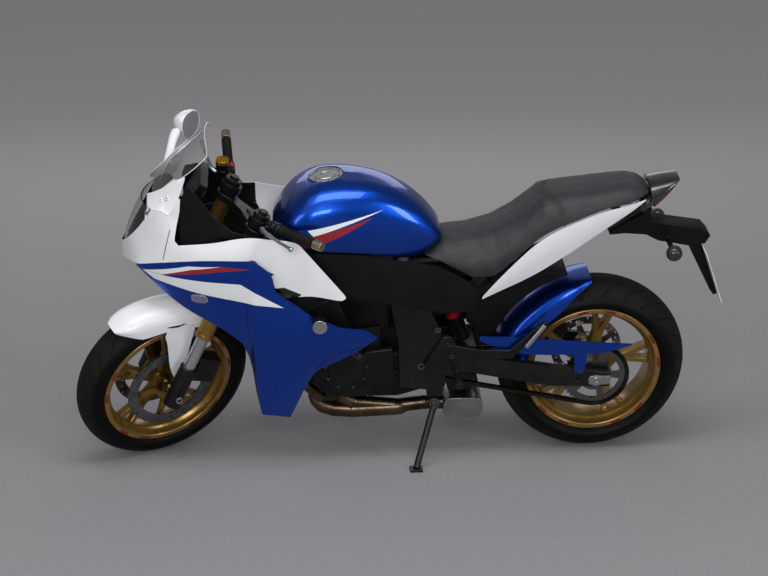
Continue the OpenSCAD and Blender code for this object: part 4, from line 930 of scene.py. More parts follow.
def bolt_shape(tree, given):
    """A round bolt head with a socket in it."""
    head = geo(tree, "MeshCylinder", Vertices=12, Radius=given["Radius"], Depth=given["Height"])
    inset = geo(tree, "ExtrudeMesh", {"mode": "FACES"}, Mesh=head.outputs[0], Selection=head.outputs["Top"],
                Offset_Scale=0.0)
    small = geo(tree, "ScaleElements", Geometry=inset.outputs[0], Selection=inset.outputs["Top"], Scale=0.5)
    deep = geo(tree, "ExtrudeMesh", {"mode": "FACES"}, Mesh=small.outputs[0], Selection=inset.outputs["Top"],
               Offset_Scale=given["Socket"])
    return deep.outputs[0]


def link_shape(tree, given):
    """A pair of chain plates between two pins, pitch along x and pins along y."""
    ends = []
    for way in (-0.5, 0.5):
        eye = geo(tree, "MeshCylinder", Vertices=10, Radius=given["Height"], Depth=given["Plate"])
        spot = put(tree, "CombineXYZ", i0=calc(tree, "MULTIPLY", given["Pitch"], way)).outputs[0]
        ends.append(geo(tree, "Transform", Geometry=eye.outputs[0], Translation=spot,
                        Rotation=(math.radians(90), 0, 0)).outputs[0])
    both = geo(tree, "JoinGeometry")
    for end in ends:
        tree.links.new(end, both.inputs[0])
    plate = geo(tree, "ConvexHull", Geometry=both.outputs[0]).outputs[0]
    pair = geo(tree, "JoinGeometry")
    for way in (-1, 1):
        off = put(tree, "CombineXYZ", i1=calc(tree, "MULTIPLY", given["Apart"], way / 2)).outputs[0]
        tree.links.new(geo(tree, "Transform", Geometry=plate, Translation=off).outputs[0], pair.inputs[0])
    rivet = geo(tree, "MeshCylinder", Vertices=8, Radius=given["Pin"], Depth=given["Across"])
    spot = put(tree, "CombineXYZ", i0=calc(tree, "MULTIPLY", given["Pitch"], 0.5)).outputs[0]
    tree.links.new(geo(tree, "Transform", Geometry=rivet.outputs[0], Translation=spot,
                       Rotation=(math.radians(90), 0, 0)).outputs[0], pair.inputs[0])
    return pair.outputs[0]


def stitch_shape(tree, given):
    """One short thread lying along x."""
    rod = geo(tree, "MeshCylinder", Vertices=6, Radius=given["Radius"], Depth=given["Length"])
    return geo(tree, "Transform", Geometry=rod.outputs[0], Rotation=(0, math.radians(90), 0)).outputs[0]


def aim(point, axis):
    """A frame at a point with z along an axis."""
    z = Vector(axis).normalized()
    x = Vector((0, 0, 1)).cross(z)
    x = (x if x.length > 1e-4 else Vector((1, 0, 0)).cross(z)).normalized()
    return Matrix.Translation(point) @ basis(x, z.cross(x), z)


def surface(name):
    """The finished surface of a piece, for setting others on it."""
    return BVHTree.FromObject(bpy.data.objects[name], bpy.context.evaluated_depsgraph_get())


def touch(trees, x, z, side, place=PARK):
    """Point and outward normal where a line across the machine first meets any of some surfaces."""
    way = (place.to_3x3() @ Vector((0, -side, 0))).normalized()
    first = None
    for tree in trees:
        spot, normal, _, far = tree.ray_cast(place @ mm(x, side * 500, z), way)
        if spot is not None and (first is None or far < first[2]):
            first = (spot, normal if normal.dot(way) < 0 else -normal, far)
    return first and first[:2]


def inlays(name, rows, body, slot, material):
    """Thin strips let into surfaces. A row has surfaces, their frame, a side and points of x, z and width."""
    bm = bmesh.new()
    thick, pace = 0.0005, 5
    for trees, place, side, points in rows:
        path = []
        for a, b in zip(points, points[1:]):
            steps = max(2, int(math.hypot(b[0] - a[0], b[1] - a[1]) / pace))
            path += [[p + (q - p) * i / steps for p, q in zip(a, b)] for i in range(steps)]
        path.append(list(points[-1]))
        rings = []
        for i, (x, z, width) in enumerate(path):
            a, b = path[max(i - 1, 0)], path[min(i + 1, len(path) - 1)]
            way = Vector((b[0] - a[0], b[1] - a[1])).normalized() * width / 2
            hits = [touch(trees, x - way.y * c, z + way.x * c, side, place)
                    for c in (-1.0, -0.5, 0.0, 0.5, 1.0)]
            if all(hits):
                over = [bm.verts.new(s + n * thick) for s, n in hits]
                under = [bm.verts.new(s - n * thick) for s, n in hits]
                rings.append(over + under[::-1])
        tube(bm, rings)
    finished(name, outward(bm), body, slot, [material], sharp=40)


def sweep(path, matrix, steps=12):
    """A bmesh of rounded section along points: a place in millimetres, a half width and a half height."""
    bm = bmesh.new()
    rings = []
    spots = [mm(*p[0]) for p in path]
    for i, (_, wide, high) in enumerate(path):
        way = (spots[min(i + 1, len(path) - 1)] - spots[max(i - 1, 0)]).normalized()
        across = way.cross(Vector((0, 0, 1))).normalized()
        up = across.cross(way)
        rings.append([bm.verts.new(matrix @ (spots[i] + across * wide * math.cos(t) / 1000
                                             + up * high * math.sin(t) / 1000)) for t in turns(steps)])
    tube(bm, rings)
    return outward(bm)


# Operators

class BIKE_OT_finishes(bpy.types.Operator):
    """Builds every material and gives each CAD node the finish of its slot"""
    bl_idname = "bike.finishes"
    bl_label = "Make finishes"

    def execute(self, context):
        MATERIALS.update(all_materials(context.scene.bike_colours))
        special = {"front_tyre": "front_tyre", "rear_tyre": "rear_tyre", "front_rim": "front_gold",
                   "rear_rim": "rear_gold", "front_discs": "front_disc", "tail_cover": "gloss_plastic",
                   "foot_pegs": "black_metal"}
        for name, node in frame["nodes"].items():
            slot = node.data.materials[0].name
            finish = special.get(name, slot if slot in MATERIALS else "black_plastic")
            node.data.materials[0] = MATERIALS[finish]
        return {"FINISHED"}


class BIKE_OT_panels(bpy.types.Operator):
    """Painted panels as smooth skins, dark on their hidden sides"""
    bl_idname = "bike.panels"
    bl_label = "Make painted panels"

    def execute(self, context):
        def behind(mid, way):
            return way.y * mid.y < 0 and abs(way.y) > 0.25

        def towards(hub, turn):
            def looks_in(mid, way):
                mid, way = turn @ mid, turn.to_3x3() @ way
                out = (Vector((mid.x, 0, mid.z)) - hub).normalized()
                return out.dot(way) < -0.05 or way.y * mid.y < -0.005
            return looks_in
        white, blue = (["white_paint", "panel_inner"], ["blue_paint", "panel_inner"])
        skin("fuel_tank", ["blue_paint"], 55, 14)
        skin("side_fairings", blue, inside=behind)
        skin("upper_cowl", white, inside=lambda mid, way: mid.x > COWL_DARK and behind(mid, way))
        self.pillars()
        bevelled("mirror_plates", ["white_paint"], 0.0015)
        skin("tail_panels", white, inside=behind)
        skin("chain_guard", ["blue_paint"])
        skin("front_mudguard", white, inside=towards(FRONT_HUB, STEERED.inverted() @ PARK))
        skin("hugger", blue, inside=towards(REAR_HUB, Matrix.Identity(4)))
        return {"FINISHED"}

    def pillars(self):
        """White strips that close the cowl up to the mirror plates"""
        bm = bmesh.new()
        parts = 4
        for side in (-1, 1):
            walls = [[[bm.verts.new(PARK @ mm(rear + (front - rear) * k / parts,
                                              side * (y + deep - 0.06 * (k - parts / 2) ** 2), z))
                       for k in range(parts + 1)] for z, rear, front, y in PILLAR] for deep in (0.8, -2.6)]
            for wall in walls:
                for a, b in zip(wall, wall[1:]):
                    for i in range(parts):
                        bm.faces.new((a[i], a[i + 1], b[i + 1], b[i]))
            band(bm, *([r[0] for r in wall] + wall[-1][1:] + [r[parts] for r in wall[-2::-1]]
                       + wall[0][parts - 1:0:-1] for wall in walls))
        finished("cowl_pillars", outward(bm), "chassis", "white_paint", sharp=50)


class BIKE_OT_trim(bpy.types.Operator):
    """Moulded covers, tail cover, plate and its holder"""
    bl_idname = "bike.trim"
    bl_label = "Make plastic trim"

    def execute(self, context):
        skin("side_covers", ["black_plastic"])
        skin("tail_cover", ["gloss_plastic"], slot="black_plastic")

        def lower(bm):
            for vert in bm.verts:
                spot = UPRIGHT @ vert.co
                if spot.y < -0.1 and spot.z > COCKPIT_TOP:
                    vert.co = PARK @ Vector((spot.x, spot.y, COCKPIT_TOP))
        bevelled("cockpit", ["black_plastic"], 0.002, shape=lower)
        bevelled("plate_holder", ["black_plastic"], 0.002)
        bevelled("licence_plate", ["plate_white"], 0.0005)
        return {"FINISHED"}


class BIKE_OT_lamps(bpy.types.Operator):
    """Headlamp with its reflectors, screen, indicators, tail lamp and mirror glass"""
    bl_idname = "bike.lamps"
    bl_label = "Make lamps and glass"

    def execute(self, context):
        skin("windscreen", ["clear_screen", "screen_edge"], rim=True)
        skin("headlight", ["headlamp_lens"])
        skin("tail_light", ["red_lens"])
        bevelled("front_indicators", ["clear_indicator"], 0.003, segments=3)
        bevelled("rear_indicators", ["smoke_lens"], 0.0015)
        self.bowls()
        self.mirror()
        self.gauges()
        return {"FINISHED"}

    def mirror(self):
        """The one mirror: a pointed shell on its stalk and the glass in its rear face"""
        turn = Euler((0, math.radians(-8), math.radians(-27))).to_matrix().to_4x4()
        place = PARK @ Matrix.Translation(mm(*MIRROR_AT)) @ turn @ Matrix.Rotation(math.radians(12), 4, "X")
        shell = sweep(MIRROR_STALK, PARK)
        head, glass = bmesh.new(), bmesh.new()
        for bm, rings in ((head, MIRROR_RINGS), (glass, MIRROR_PANE)):
            tube(bm, [[bm.verts.new(place @ mm(x, *(c * grow for c in spot))) for spot in MIRROR_RIM]
                      for x, grow in rings])
            outward(bm)
        join(shell, head)
        smoothed(finished("mirror_shell_skin", shell, "chassis", "white_paint", stands_for=("mirror_shell",)))
        finished("mirror_pane", glass, "chassis", "mirror_silver", stands_for=("mirror_glass",), sharp=30)

    def gauges(self):
        """Two round dials with raised rims on the dash"""
        whole = bmesh.new()
        face = PARK @ Matrix.Translation(mm(*DASH_AT)) @ Matrix.Rotation(math.radians(-32), 4, "Y")
        middle = [(0.0004, DIAL_PROFILE[0][1]), (0.0004, DIAL_PROFILE[-1][1])]
        profile = middle[:1] + [(DIAL * share, high) for share, high in DIAL_PROFILE] + middle[1:]
        for side in (1, -1):
            at = face @ Matrix.Translation(mm(-14, 48 * side, 0)) @ Matrix.Rotation(math.radians(90), 4, "Z")
            join(whole, lathe(profile, at, 40))
        finished("dash_dials", whole, "chassis", "black_plastic", ["gloss_plastic"], sharp=35)

    def bowls(self):
        """Two bright bowls with bulbs, and a dark housing behind the headlamp's cover"""
        whole = bmesh.new()
        for side in (-1, 1):
            at = (PARK @ Matrix.Translation(mm(1455, 46 * side, 872))
                  @ Matrix.Rotation(math.radians(-90), 4, "Z"))
            join(whole, lathe(BOWL, at, 32, True))
            join(whole, lathe(BULB, at, 32))
        finished("lamp_bowls", whole, "chassis", "mirror_silver")
        back = merged("headlight")
        for vert in back.verts:
            spot = LAMP_MIDDLE + (UPRIGHT @ vert.co - LAMP_MIDDLE) * 0.9 + mm(-46, 0, -4)
            vert.co = PARK @ spot
        finished("lamp_housing", back, "chassis", "black_plastic", ["gloss_plastic"], sharp=40)


class BIKE_OT_frame_parts(bpy.types.Operator):
    """Frame, engine, exhaust and running gear with rounded edges"""
    bl_idname = "bike.frame_parts"
    bl_label = "Make frame and engine"

    def execute(self, context):
        rows = [("frame", "black_metal", 0.0025), ("subframe", "black_metal", 0.001),
                ("engine", "engine_black", 0.002),
                ("engine_covers", "engine_black", 0.004), ("silencer", "silencer_steel", 0.0012),
                ("swingarm", "black_metal", 0.003), ("footrests", "black_metal", 0.0015),
                ("rear_caliper", "caliper_metal", 0.0025), ("rear_axle", "bare_aluminium", 0.0006),
                ("side_stand", "black_metal", 0.001)]
        for node, finish, width in rows:
            bevelled(node, [finish], width)
        bevelled("radiator", ["dark_steel"], 0.001, slot="bare_aluminium")
        end = max((UPRIGHT @ v.co).y for v in frame["nodes"]["crash_bobbins"].data.vertices) - 0.004
        bevelled("crash_bobbins", ["black_plastic", "bare_aluminium"], 0.002, slot="bare_aluminium",
                 choose=lambda mid: int(abs((UPRIGHT @ mid).y) > end))
        bevelled("foot_pegs", ["bare_aluminium", "black_metal"], 0.001,
                 choose=lambda mid: int((UPRIGHT @ mid).x > 0.3))
        up = PARK.to_3x3() @ (mm(*SHOCK_HEAD) - mm(*SHOCK_FOOT)).normalized()
        foot = PARK @ mm(*SHOCK_FOOT)
        ends = [(foot + up * far, up) for far in SHOCK_RED]
        bevelled("shock", ["black_metal", "shock_red"], 0.001, slot="shock_red", cuts=ends,
                 choose=lambda mid: int(SHOCK_RED[0] < (mid - foot).dot(up) < SHOCK_RED[1]))
        finished("collector_pipe", sweep(COLLECTOR, PARK, 28), "chassis", "exhaust_steel", sharp=35)
        for row in CASTINGS:
            self.casting(*row)
        return {"FINISHED"}

    def casting(self, name, finish, near, far, outline):
        """A rounded slab across the machine, or a pair of them where it keeps off the middle"""
        bm = bmesh.new()
        for sides in [(near, far), (-far, -near)] if near else [(-far, far)]:
            tube(bm, [[bm.verts.new(PARK @ mm(x, y, z)) for x, z in outline] for y in sides])
        bmesh.ops.bevel(outward(bm), geom=bm.edges[:], offset=min(0.005, (far - near) * 0.0003), segments=3,
                        affect="EDGES", profile=0.5, clamp_overlap=True)
        slot = "black_plastic" if finish == "panel_inner" else finish
        finished(name, bm, "chassis", slot, [finish], sharp=40)


class BIKE_OT_steering_parts(bpy.types.Operator):
    """Fork, yokes, bars, levers and calipers with rounded edges"""
    bl_idname = "bike.steering_parts"
    bl_label = "Make fork and controls"

    def execute(self, context):
        rows = [("yokes", "black_metal", 0.002), ("fork_feet", "black_metal", 0.0015),
                ("front_axle", "bare_aluminium", 0.0006), ("handlebars", "black_metal", 0.0008),
                ("bar_ends", "bronze_metal", 0.001), ("front_calipers", "caliper_metal", 0.003)]
        for node, finish, width in rows:
            bevelled(node, [finish], width)
        turned = STEERED.to_3x3()
        yoke, axis = STEERED @ (FRONT_HUB + GOLD_TOP * STEER_AXIS), turned @ STEER_AXIS
        bevelled("fork_uppers", ["gold_metal", "black_metal"], 0.001, cuts=[(yoke, axis)],
                 choose=lambda mid: int((mid - yoke).dot(axis) > 0))
        self.levers()
        lid, up = STEERED @ Vector((1.2, 0, CAP_FROM)), turned @ Vector((0, 0, 1))
        bevelled("brake_reservoir", ["black_plastic", "reservoir_gold"], 0.001, slot="reservoir_gold",
                 cuts=[(lid, up)], choose=lambda mid: int((mid - lid).dot(up) > 0))
        self.grips()
        self.kill_switch()
        return {"FINISHED"}

    def levers(self):
        """Switch boxes on the bars, lever brackets and bladed levers"""
        dark, bright = bmesh.new(), bmesh.new()
        root = (BAR_IN + (GRIP_FROM - LEVER_IN) * BAR_WAY) * 1000
        box = [(r, GRIP_FROM - SWITCH_IN + far) for r, far in SWITCH_BOX]
        for side in (-1, 1):
            flip = STEERED @ Matrix.Diagonal((1, side, 1, 1))
            join(dark, lathe(box, flip @ Matrix.Translation(BAR_IN) @ along(BAR_WAY), 40, True))
            for bm, path in ((dark, LEVER_BRACKET), (bright, LEVER_BLADE)):
                join(bm, sweep([(root + Vector(off), wide, high) for off, wide, high in path], flip))
        for bm, name, finish in ((dark, "switch_boxes", "black_metal"),
                                 (bright, "hand_levers", "bare_aluminium")):
            finished(name, outward(bm), BODY["controls"], "bare_aluminium", [finish], ("controls",), 45)

    def grips(self):
        """Ribbed rubber grips with a flange at the inner end"""
        whole = bmesh.new()
        pace = (GRIP_TO - GRIP_FROM - 0.010) / GRIP_RIBS
        profile = [(0.0115, GRIP_FROM), (0.020, GRIP_FROM), (0.020, GRIP_FROM + 0.004),
                   (0.0165, GRIP_FROM + 0.007)]
        for i in range(GRIP_RIBS):
            at = GRIP_FROM + 0.008 + pace * i
            profile += [(0.0149, at), (0.0149, at + pace * 0.35), (0.0160, at + pace * 0.45),
                        (0.0160, at + pace * 0.9)]
        profile += [(0.0160, GRIP_TO - 0.001), (0.0115, GRIP_TO)]
        for side in (-1, 1):
            flip = Matrix.Diagonal((1, side, 1))
            place = STEERED @ Matrix.Translation(flip @ BAR_IN) @ along(flip @ BAR_WAY)
            join(whole, lathe(profile, place, 32, True))
        finished("ribbed_grips", whole, BODY["grips"], "grip_rubber", stands_for=("grips",), sharp=50)

    def kill_switch(self):
        """Red rocker on top of the right-hand switch box"""
        flip = Matrix.Diagonal((1, -1, 1))
        way = flip @ BAR_WAY
        spot = flip @ BAR_IN + (GRIP_FROM - 0.018) * way
        up = Vector((-0.45, 0, 1))
        up = (up - up.dot(way) * way).normalized()
        bm = bmesh.new()
        bmesh.ops.create_cube(bm, size=1)
        bmesh.ops.scale(bm, vec=(0.012, 0.016, 0.009), verts=bm.verts)
        bmesh.ops.bevel(bm, geom=bm.edges[:], offset=0.002, segments=3, affect="EDGES", profile=0.5)
        place = STEERED @ Matrix.Translation(spot + up * 0.0215) @ basis(way.cross(up), way, up)
        bmesh.ops.transform(bm, matrix=place, verts=bm.verts)
        finished("kill_switch", outward(bm), "steering", "shock_red")


class BIKE_OT_wheels(bpy.types.Operator):
    """Tyres with cut treads, rims and sprocket"""
    bl_idname = "bike.wheels"
    bl_label = "Make wheels"

    def execute(self, context):
        tyre("front_tyre", FRONT_WHEEL, FRONT_R, FRONT_TYRE, FRONT_RIM, FRONT_TREAD)
        tyre("rear_tyre", REAR_WHEEL, REAR_R, REAR_TYRE, REAR_RIM, REAR_TREAD)
        for end in ("front", "rear"):
            bevelled(end + "_rim", [end + "_gold"], 0.003, slot="gold_metal")
        self.sprocket()
        return {"FINISHED"}

    def sprocket(self):
        """Toothed ring on five arms and its hub"""
        bm = bmesh.new()
        bore, hub, ring, root, tip = SPROCKET
        rows = [[bm.verts.new((r * math.cos(turn), RING_IN, r * math.sin(turn)))
                 for r in (bore, hub, ring, (root, root, tip, tip)[i % 4])]
                for i, turn in enumerate(turns(TEETH * 4))]
        faces = []
        for i, (a, b) in enumerate(zip(rows, rows[1:] + rows[:1])):
            share = (i + 0.5) / len(rows) * ARMS % 1
            for k in range(3):
                if k != 1 or abs(share - 0.5) < ARM_HALF:
                    faces.append(bm.faces.new((a[k], b[k], b[k + 1], a[k + 1])))
        for part in bmesh.ops.extrude_face_region(bm, geom=faces)["geom"]:
            if isinstance(part, bmesh.types.BMVert):
                part.co.y = RING_OUT
        bmesh.ops.delete(bm, geom=[v for v in bm.verts if not v.link_faces], context="VERTS")
        wide, inner, outer = CARRIER
        carrier = [(bore, inner), (wide, inner), (wide, outer), (bore, outer)]
        join(bm, lathe(carrier, Matrix.Identity(4), 48, True))
        bmesh.ops.transform(outward(bm), matrix=REAR_WHEEL, verts=bm.verts)
        finished("sprocket_ring", bm, BODY["rear_sprocket"], "brake_steel", ["dark_steel"],
                 ("rear_sprocket",), 35)


class BIKE_OT_chain(bpy.types.Operator):
    """Drive chain of separate links along the run round both sprockets"""
    bl_idname = "bike.chain"
    bl_label = "Make chain"

    def execute(self, context):
        pitch = context.scene.bike_sizes.link
        gap = Vector(CHAIN_SMALL[:2]) - Vector(CHAIN_BIG[:2])
        lean = math.atan2(gap.y, gap.x)
        hug = math.acos((CHAIN_BIG[2] - CHAIN_SMALL[2]) / gap.length)
        run = []
        for (x, z, r), first, last, steps in ((CHAIN_BIG, lean + hug, lean - hug + 2 * math.pi, 80),
                                              (CHAIN_SMALL, lean - hug, lean + hug, 40)):
            for i in range(steps + 1):
                a = first + (last - first) * i / steps
                run.append(Vector((x + r * math.cos(a), z + r * math.sin(a))))
        run.append(run[0])
        total = sum((b - a).length for a, b in zip(run, run[1:]))
        count = 2 * round(total / pitch / 2)
        step = total / count
        spots = []
        walked = 0.0
        for a, b in zip(run, run[1:]):
            while len(spots) < count and walked + (b - a).length >= len(spots) * step:
                spots.append(a.lerp(b, (len(spots) * step - walked) / (b - a).length))
            walked += (b - a).length
        places = [[], []]
        for i, spot in enumerate(spots):
            way = spots[(i + 1) % len(spots)] - spot
            mid = spot + way / 2
            turn = Matrix.Rotation(-math.atan2(way.y, way.x), 4, "Y")
            places[i % 2].append((PARK @ (Matrix.Translation((mid.x, CHAIN_Y, mid.y)) @ turn), 1.0))
        tree = instancer("Chain Link", [
            ("Pitch", pitch), ("Height", 0.0072), ("Plate", 0.0016), ("Apart", 0.0092), ("Pin", 0.0026),
            ("Across", 0.0100)], link_shape)
        outer = {"Apart": 0.0130, "Height": 0.0068, "Across": 0.0150}
        for name, spots, more in (("chain_inner_links", places[0], {}),
                                  ("chain_outer_links", places[1], outer)):
            scatter(name, tree, spots, "chain_steel", "chassis", "chain_steel", {"Pitch": step, **more},
                    ("chain",))
        return {"FINISHED"}


class BIKE_OT_seat(bpy.types.Operator):
    """Padded seat, swelled as cloth over its foam, with its seams"""
    bl_idname = "bike.seat"
    bl_label = "Make seat"

    def execute(self, context):
        mesh = to_mesh(outward(merged("seat")), "seat_cushion")
        pad = bpy.data.objects.new("seat_cushion", mesh)
        context.scene.collection.objects.link(pad)
        voxel = pad.modifiers.new("Remesh", "REMESH")
        voxel.mode = "VOXEL"
        voxel.voxel_size = 0.006
        mesh = self.applied(pad)
        mesh = self.swelled(pad, context.scene.bike_sizes.swell)
        fine = pad.modifiers.new("Fine", "SUBSURF")
        fine.levels = fine.render_levels = 1
        mesh = self.applied(pad)
        self.seams(mesh)
        for face in mesh.polygons:
            face.use_smooth = True
        mesh.materials.clear()
        mesh.materials.append(MATERIALS["seat_vinyl"])
        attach(pad, "chassis")
        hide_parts("seat")
        self.stitches(mesh)
        return {"FINISHED"}

    def applied(self, pad):
        """Makes what the modifiers give the piece's own mesh"""
        ready = pad.evaluated_get(bpy.context.evaluated_depsgraph_get())
        mesh = bpy.data.meshes.new_from_object(ready)
        pad.modifiers.clear()
        old = pad.data
        pad.data = mesh
        bpy.data.meshes.remove(old)
        mesh.name = "seat_cushion"
        return mesh

    def swelled(self, pad, most):
        """Blows the cover up a little, keeps every point within the cap and evens out the creases"""
        start = [v.co.copy() for v in pad.data.vertices]
        normals = [v.normal.copy() for v in pad.data.vertices]
        for vert, normal in zip(pad.data.vertices, normals):
            vert.co -= normal * most * 0.5
        cloth = pad.modifiers.new("Cloth", "CLOTH")
        cloth.settings.use_pressure = True
        cloth.settings.uniform_pressure_force = 4
        cloth.settings.effector_weights.gravity = 0
        scene = bpy.context.scene
        for number in range(1, 21):
            scene.frame_set(number)
        mesh = self.applied(pad)
        scene.frame_set(1)
        rise = [max(-most, min(most, (v.co - old).dot(n)))
                for v, old, n in zip(mesh.vertices, start, normals)]
        beside = [[] for _ in rise]
        for edge in mesh.edges:
            a, b = edge.vertices
            beside[a].append(b)
            beside[b].append(a)
        for _ in range(EVEN_ROUNDS):
            rise = [(r + sum(rise[k] for k in near)) / (1 + len(near)) for r, near in zip(rise, beside)]
        for vert, old, normal, far in zip(mesh.vertices, start, normals, rise):
            vert.co = old + normal * far
        return mesh

    def seam_x(self, y, row):
        """Station of one of the sewn lines at a distance from the middle, in metres"""
        return 0.200 - 0.056 * min(1.0, abs(y) / 0.130) ** 1.3 - SEAMS[row]

    def seams(self, mesh):
        """Presses the sewn lines into the cover, after cutting its faces finer there"""
        bm = bmesh.new()
        bm.from_mesh(mesh)

        def off(spot, row):
            return spot.x - self.seam_x(spot.y, row)

        def beside(vert, reach=0.016):
            spot = UPRIGHT @ vert.co
            return -reach < off(spot, len(SEAMS) - 1) and off(spot, 0) < reach and spot.z > SEAM_FROM
        near = [e for e in bm.edges if all(beside(v) for v in e.verts)]
        bmesh.ops.subdivide_edges(bm, edges=near, cuts=1, use_grid_fill=True, smooth=0.5)
        bm.normal_update()
        moves = []
        for vert in bm.verts:
            spot = UPRIGHT @ vert.co
            if spot.z < SEAM_FROM or (UPRIGHT.to_3x3() @ vert.normal).z < 0.05:
                continue
            deep = max(math.exp(-(off(spot, row) / SEAM_WIDE) ** 2) for row in range(len(SEAMS)))
            if deep > 0.01:
                moves.append((vert, vert.normal.copy(), deep))
        for vert, normal, deep in moves:
            vert.co -= normal * SEAM_DEEP * deep
        bmesh.ops.triangulate(bm, faces=[f for f in bm.faces if len(f.verts) > 4])
        bm.to_mesh(mesh)
        bm.free()

    def stitches(self, mesh):
        """Stitches beside the sewn lines"""
        bm = bmesh.new()
        bm.from_mesh(mesh)
        cover = BVHTree.FromBMesh(bm)
        bm.free()
        rows = []
        size = bpy.context.scene.bike_sizes.stitch
        up = (PARK.to_3x3() @ Vector((0, 0, 1))).normalized()
        for row in range(len(SEAMS)):
            path = []
            for i in range(-240, 241):
                y = i * 0.00055
                hit = cover.ray_cast(PARK @ Vector((self.seam_x(y, row) + 0.0028, y, 1.1)), -up)
                if hit[0] is not None:
                    path.append((hit[0], hit[1]))
            walked = 0.0
            for (a, n), (b, _) in zip(path, path[1:]):
                walked += (b - a).length
                if walked >= size * 1.35:
                    walked = 0.0
                    x = (b - a).normalized()
                    y = n.cross(x).normalized()
                    rows.append((Matrix.Translation(a + n * 0.0003) @ basis(x, y, x.cross(y)), 1.0))
        tree = instancer("Stitch", [("Radius", 0.0005), ("Length", size)], stitch_shape)
        scatter("seat_stitches", tree, rows, "thread", "chassis", "seat_vinyl")


class BIKE_OT_bolts(bpy.types.Operator):
    """Bolt heads on covers, discs and panels"""
    bl_idname = "bike.bolts"
    bl_label = "Make bolts"

    def execute(self, context):
        size = context.scene.bike_sizes.bolt
        tree = instancer("Bolt Head", [("Radius", size), ("Height", size * 0.9), ("Socket", -size * 0.45)],
                         bolt_shape)
        castings = [surface(n + "_dressed")
                    for n in ("frame", "footrests", "engine_covers", "engine", "swingarm")]
        panels = [surface(n + "_skin") for n in ("side_covers", "side_fairings", "upper_cowl", "chain_guard")]
        spots = [(castings, x + r * math.cos(a + 0.2), z + r * math.sin(a + 0.2), side, 0.9)
                 for a in turns(9) for x, z, r, side in COVER_BOLTS]
        for side in (-1, 1):
            spots += [(castings, x, z, side, grow) for x, z, grow in PLATE_BOLTS]
            spots += [(panels, x, z, side, grow) for x, z, grow in PANEL_BOLTS]
        spots.append((panels, 56, 352, 1, 1.3))
        chassis = []
        for trees, x, z, side, grow in spots:
            hit = touch(trees, x, z, side)
            if hit:
                chassis.append((aim(*hit), grow))
        scatter("chassis_bolts", tree, chassis, "dark_steel", "chassis", "engine_black")
        front = [(FRONT_WHEEL @ aim(mm(108 * math.cos(a), side * 59.4, -side * 108 * math.sin(a)),
                                    (0, side, 0)), 1.3) for side in (-1, 1) for a in turns(5)]
        rear = [(REAR_WHEEL @ aim(mm(93 * math.cos(a), -84.4, 93 * math.sin(a)), (0, -1, 0)), 1.2)
                for a in turns(5)]
        scatter("front_wheel_bolts", tree, front, "dark_steel", "front_wheel", "brake_steel")
        scatter("rear_wheel_bolts", tree, rear, "dark_steel", "rear_wheel", "brake_steel")
        self.cap(tree)
        self.lines()
        return {"FINISHED"}

    def cap(self, tree):
        """Fuel cap with a flange, a ring of bolts and a lid"""
        bm = merged("tank_cap")
        top = max(bm.faces, key=lambda f: f.normal.z * 10 + f.calc_center_median().z)
        level = [f for f in bm.faces if f.normal.dot(top.normal) > 0.999]
        area = sum(f.calc_area() for f in level)
        middle = sum((f.calc_center_median() * f.calc_area() for f in level), Vector()) / area
        place = aim(middle, top.normal)
        bm.free()
        lid = lathe(CAP_PROFILE, place @ Matrix.Rotation(math.radians(90), 4, "X"), 64)
        finished("fuel_cap", lid, "chassis", "bare_aluminium", stands_for=("tank_cap",), sharp=35)
        ring = [(place @ Matrix.Translation((0.0485 * math.cos(a), 0.0485 * math.sin(a), -0.001)), 0.62)
                for a in turns(7)]
        scatter("cap_bolts", tree, ring, "dark_steel", "chassis", "bare_aluminium")

    def lines(self):
        """Seams between panels, the blue tips behind the nose and the slots of the front guard"""
        cowl, fairing, cover, guard = ([surface(n + "_skin")] for n in (
            "upper_cowl", "side_fairings", "side_covers", "front_mudguard"))
        rows, tips, slots = [], [], []
        for side in (-1, 1):
            rows += [(cowl, PARK, side, [(1398, 806, 2), (1388, 850, 2), (1373, 906, 2), (1366, 935, 2)]),
                     (fairing, PARK, side, [(923, 411, 2), (874, 469, 2), (762, 493, 2)]),
                     (fairing, PARK, side, [(1141, 661, 2), (1143, 620, 2), (1144, 576, 2)]),
                     (cover, PARK, side, [(598, 683, 2), (545, 703, 2), (497, 724, 2)])]
            tips.append((cowl, PARK, side,
                         [(1116, 777, 44), (1096, 773, 36), (1075, 769, 20), (1054, 766, 2)]))
            slots.append((guard, STEERED, side,
                          [(1448, 566, 2), (1430, 563, 7), (1412, 560, 8), (1382, 561, 2)]))
        inlays("panel_seams", rows, "chassis", "black_plastic", "panel_inner")
        inlays("fairing_tips", tips, "chassis", "blue_paint", "blue_paint")
        inlays("guard_slots", slots, "steering", "black_plastic", "panel_inner")


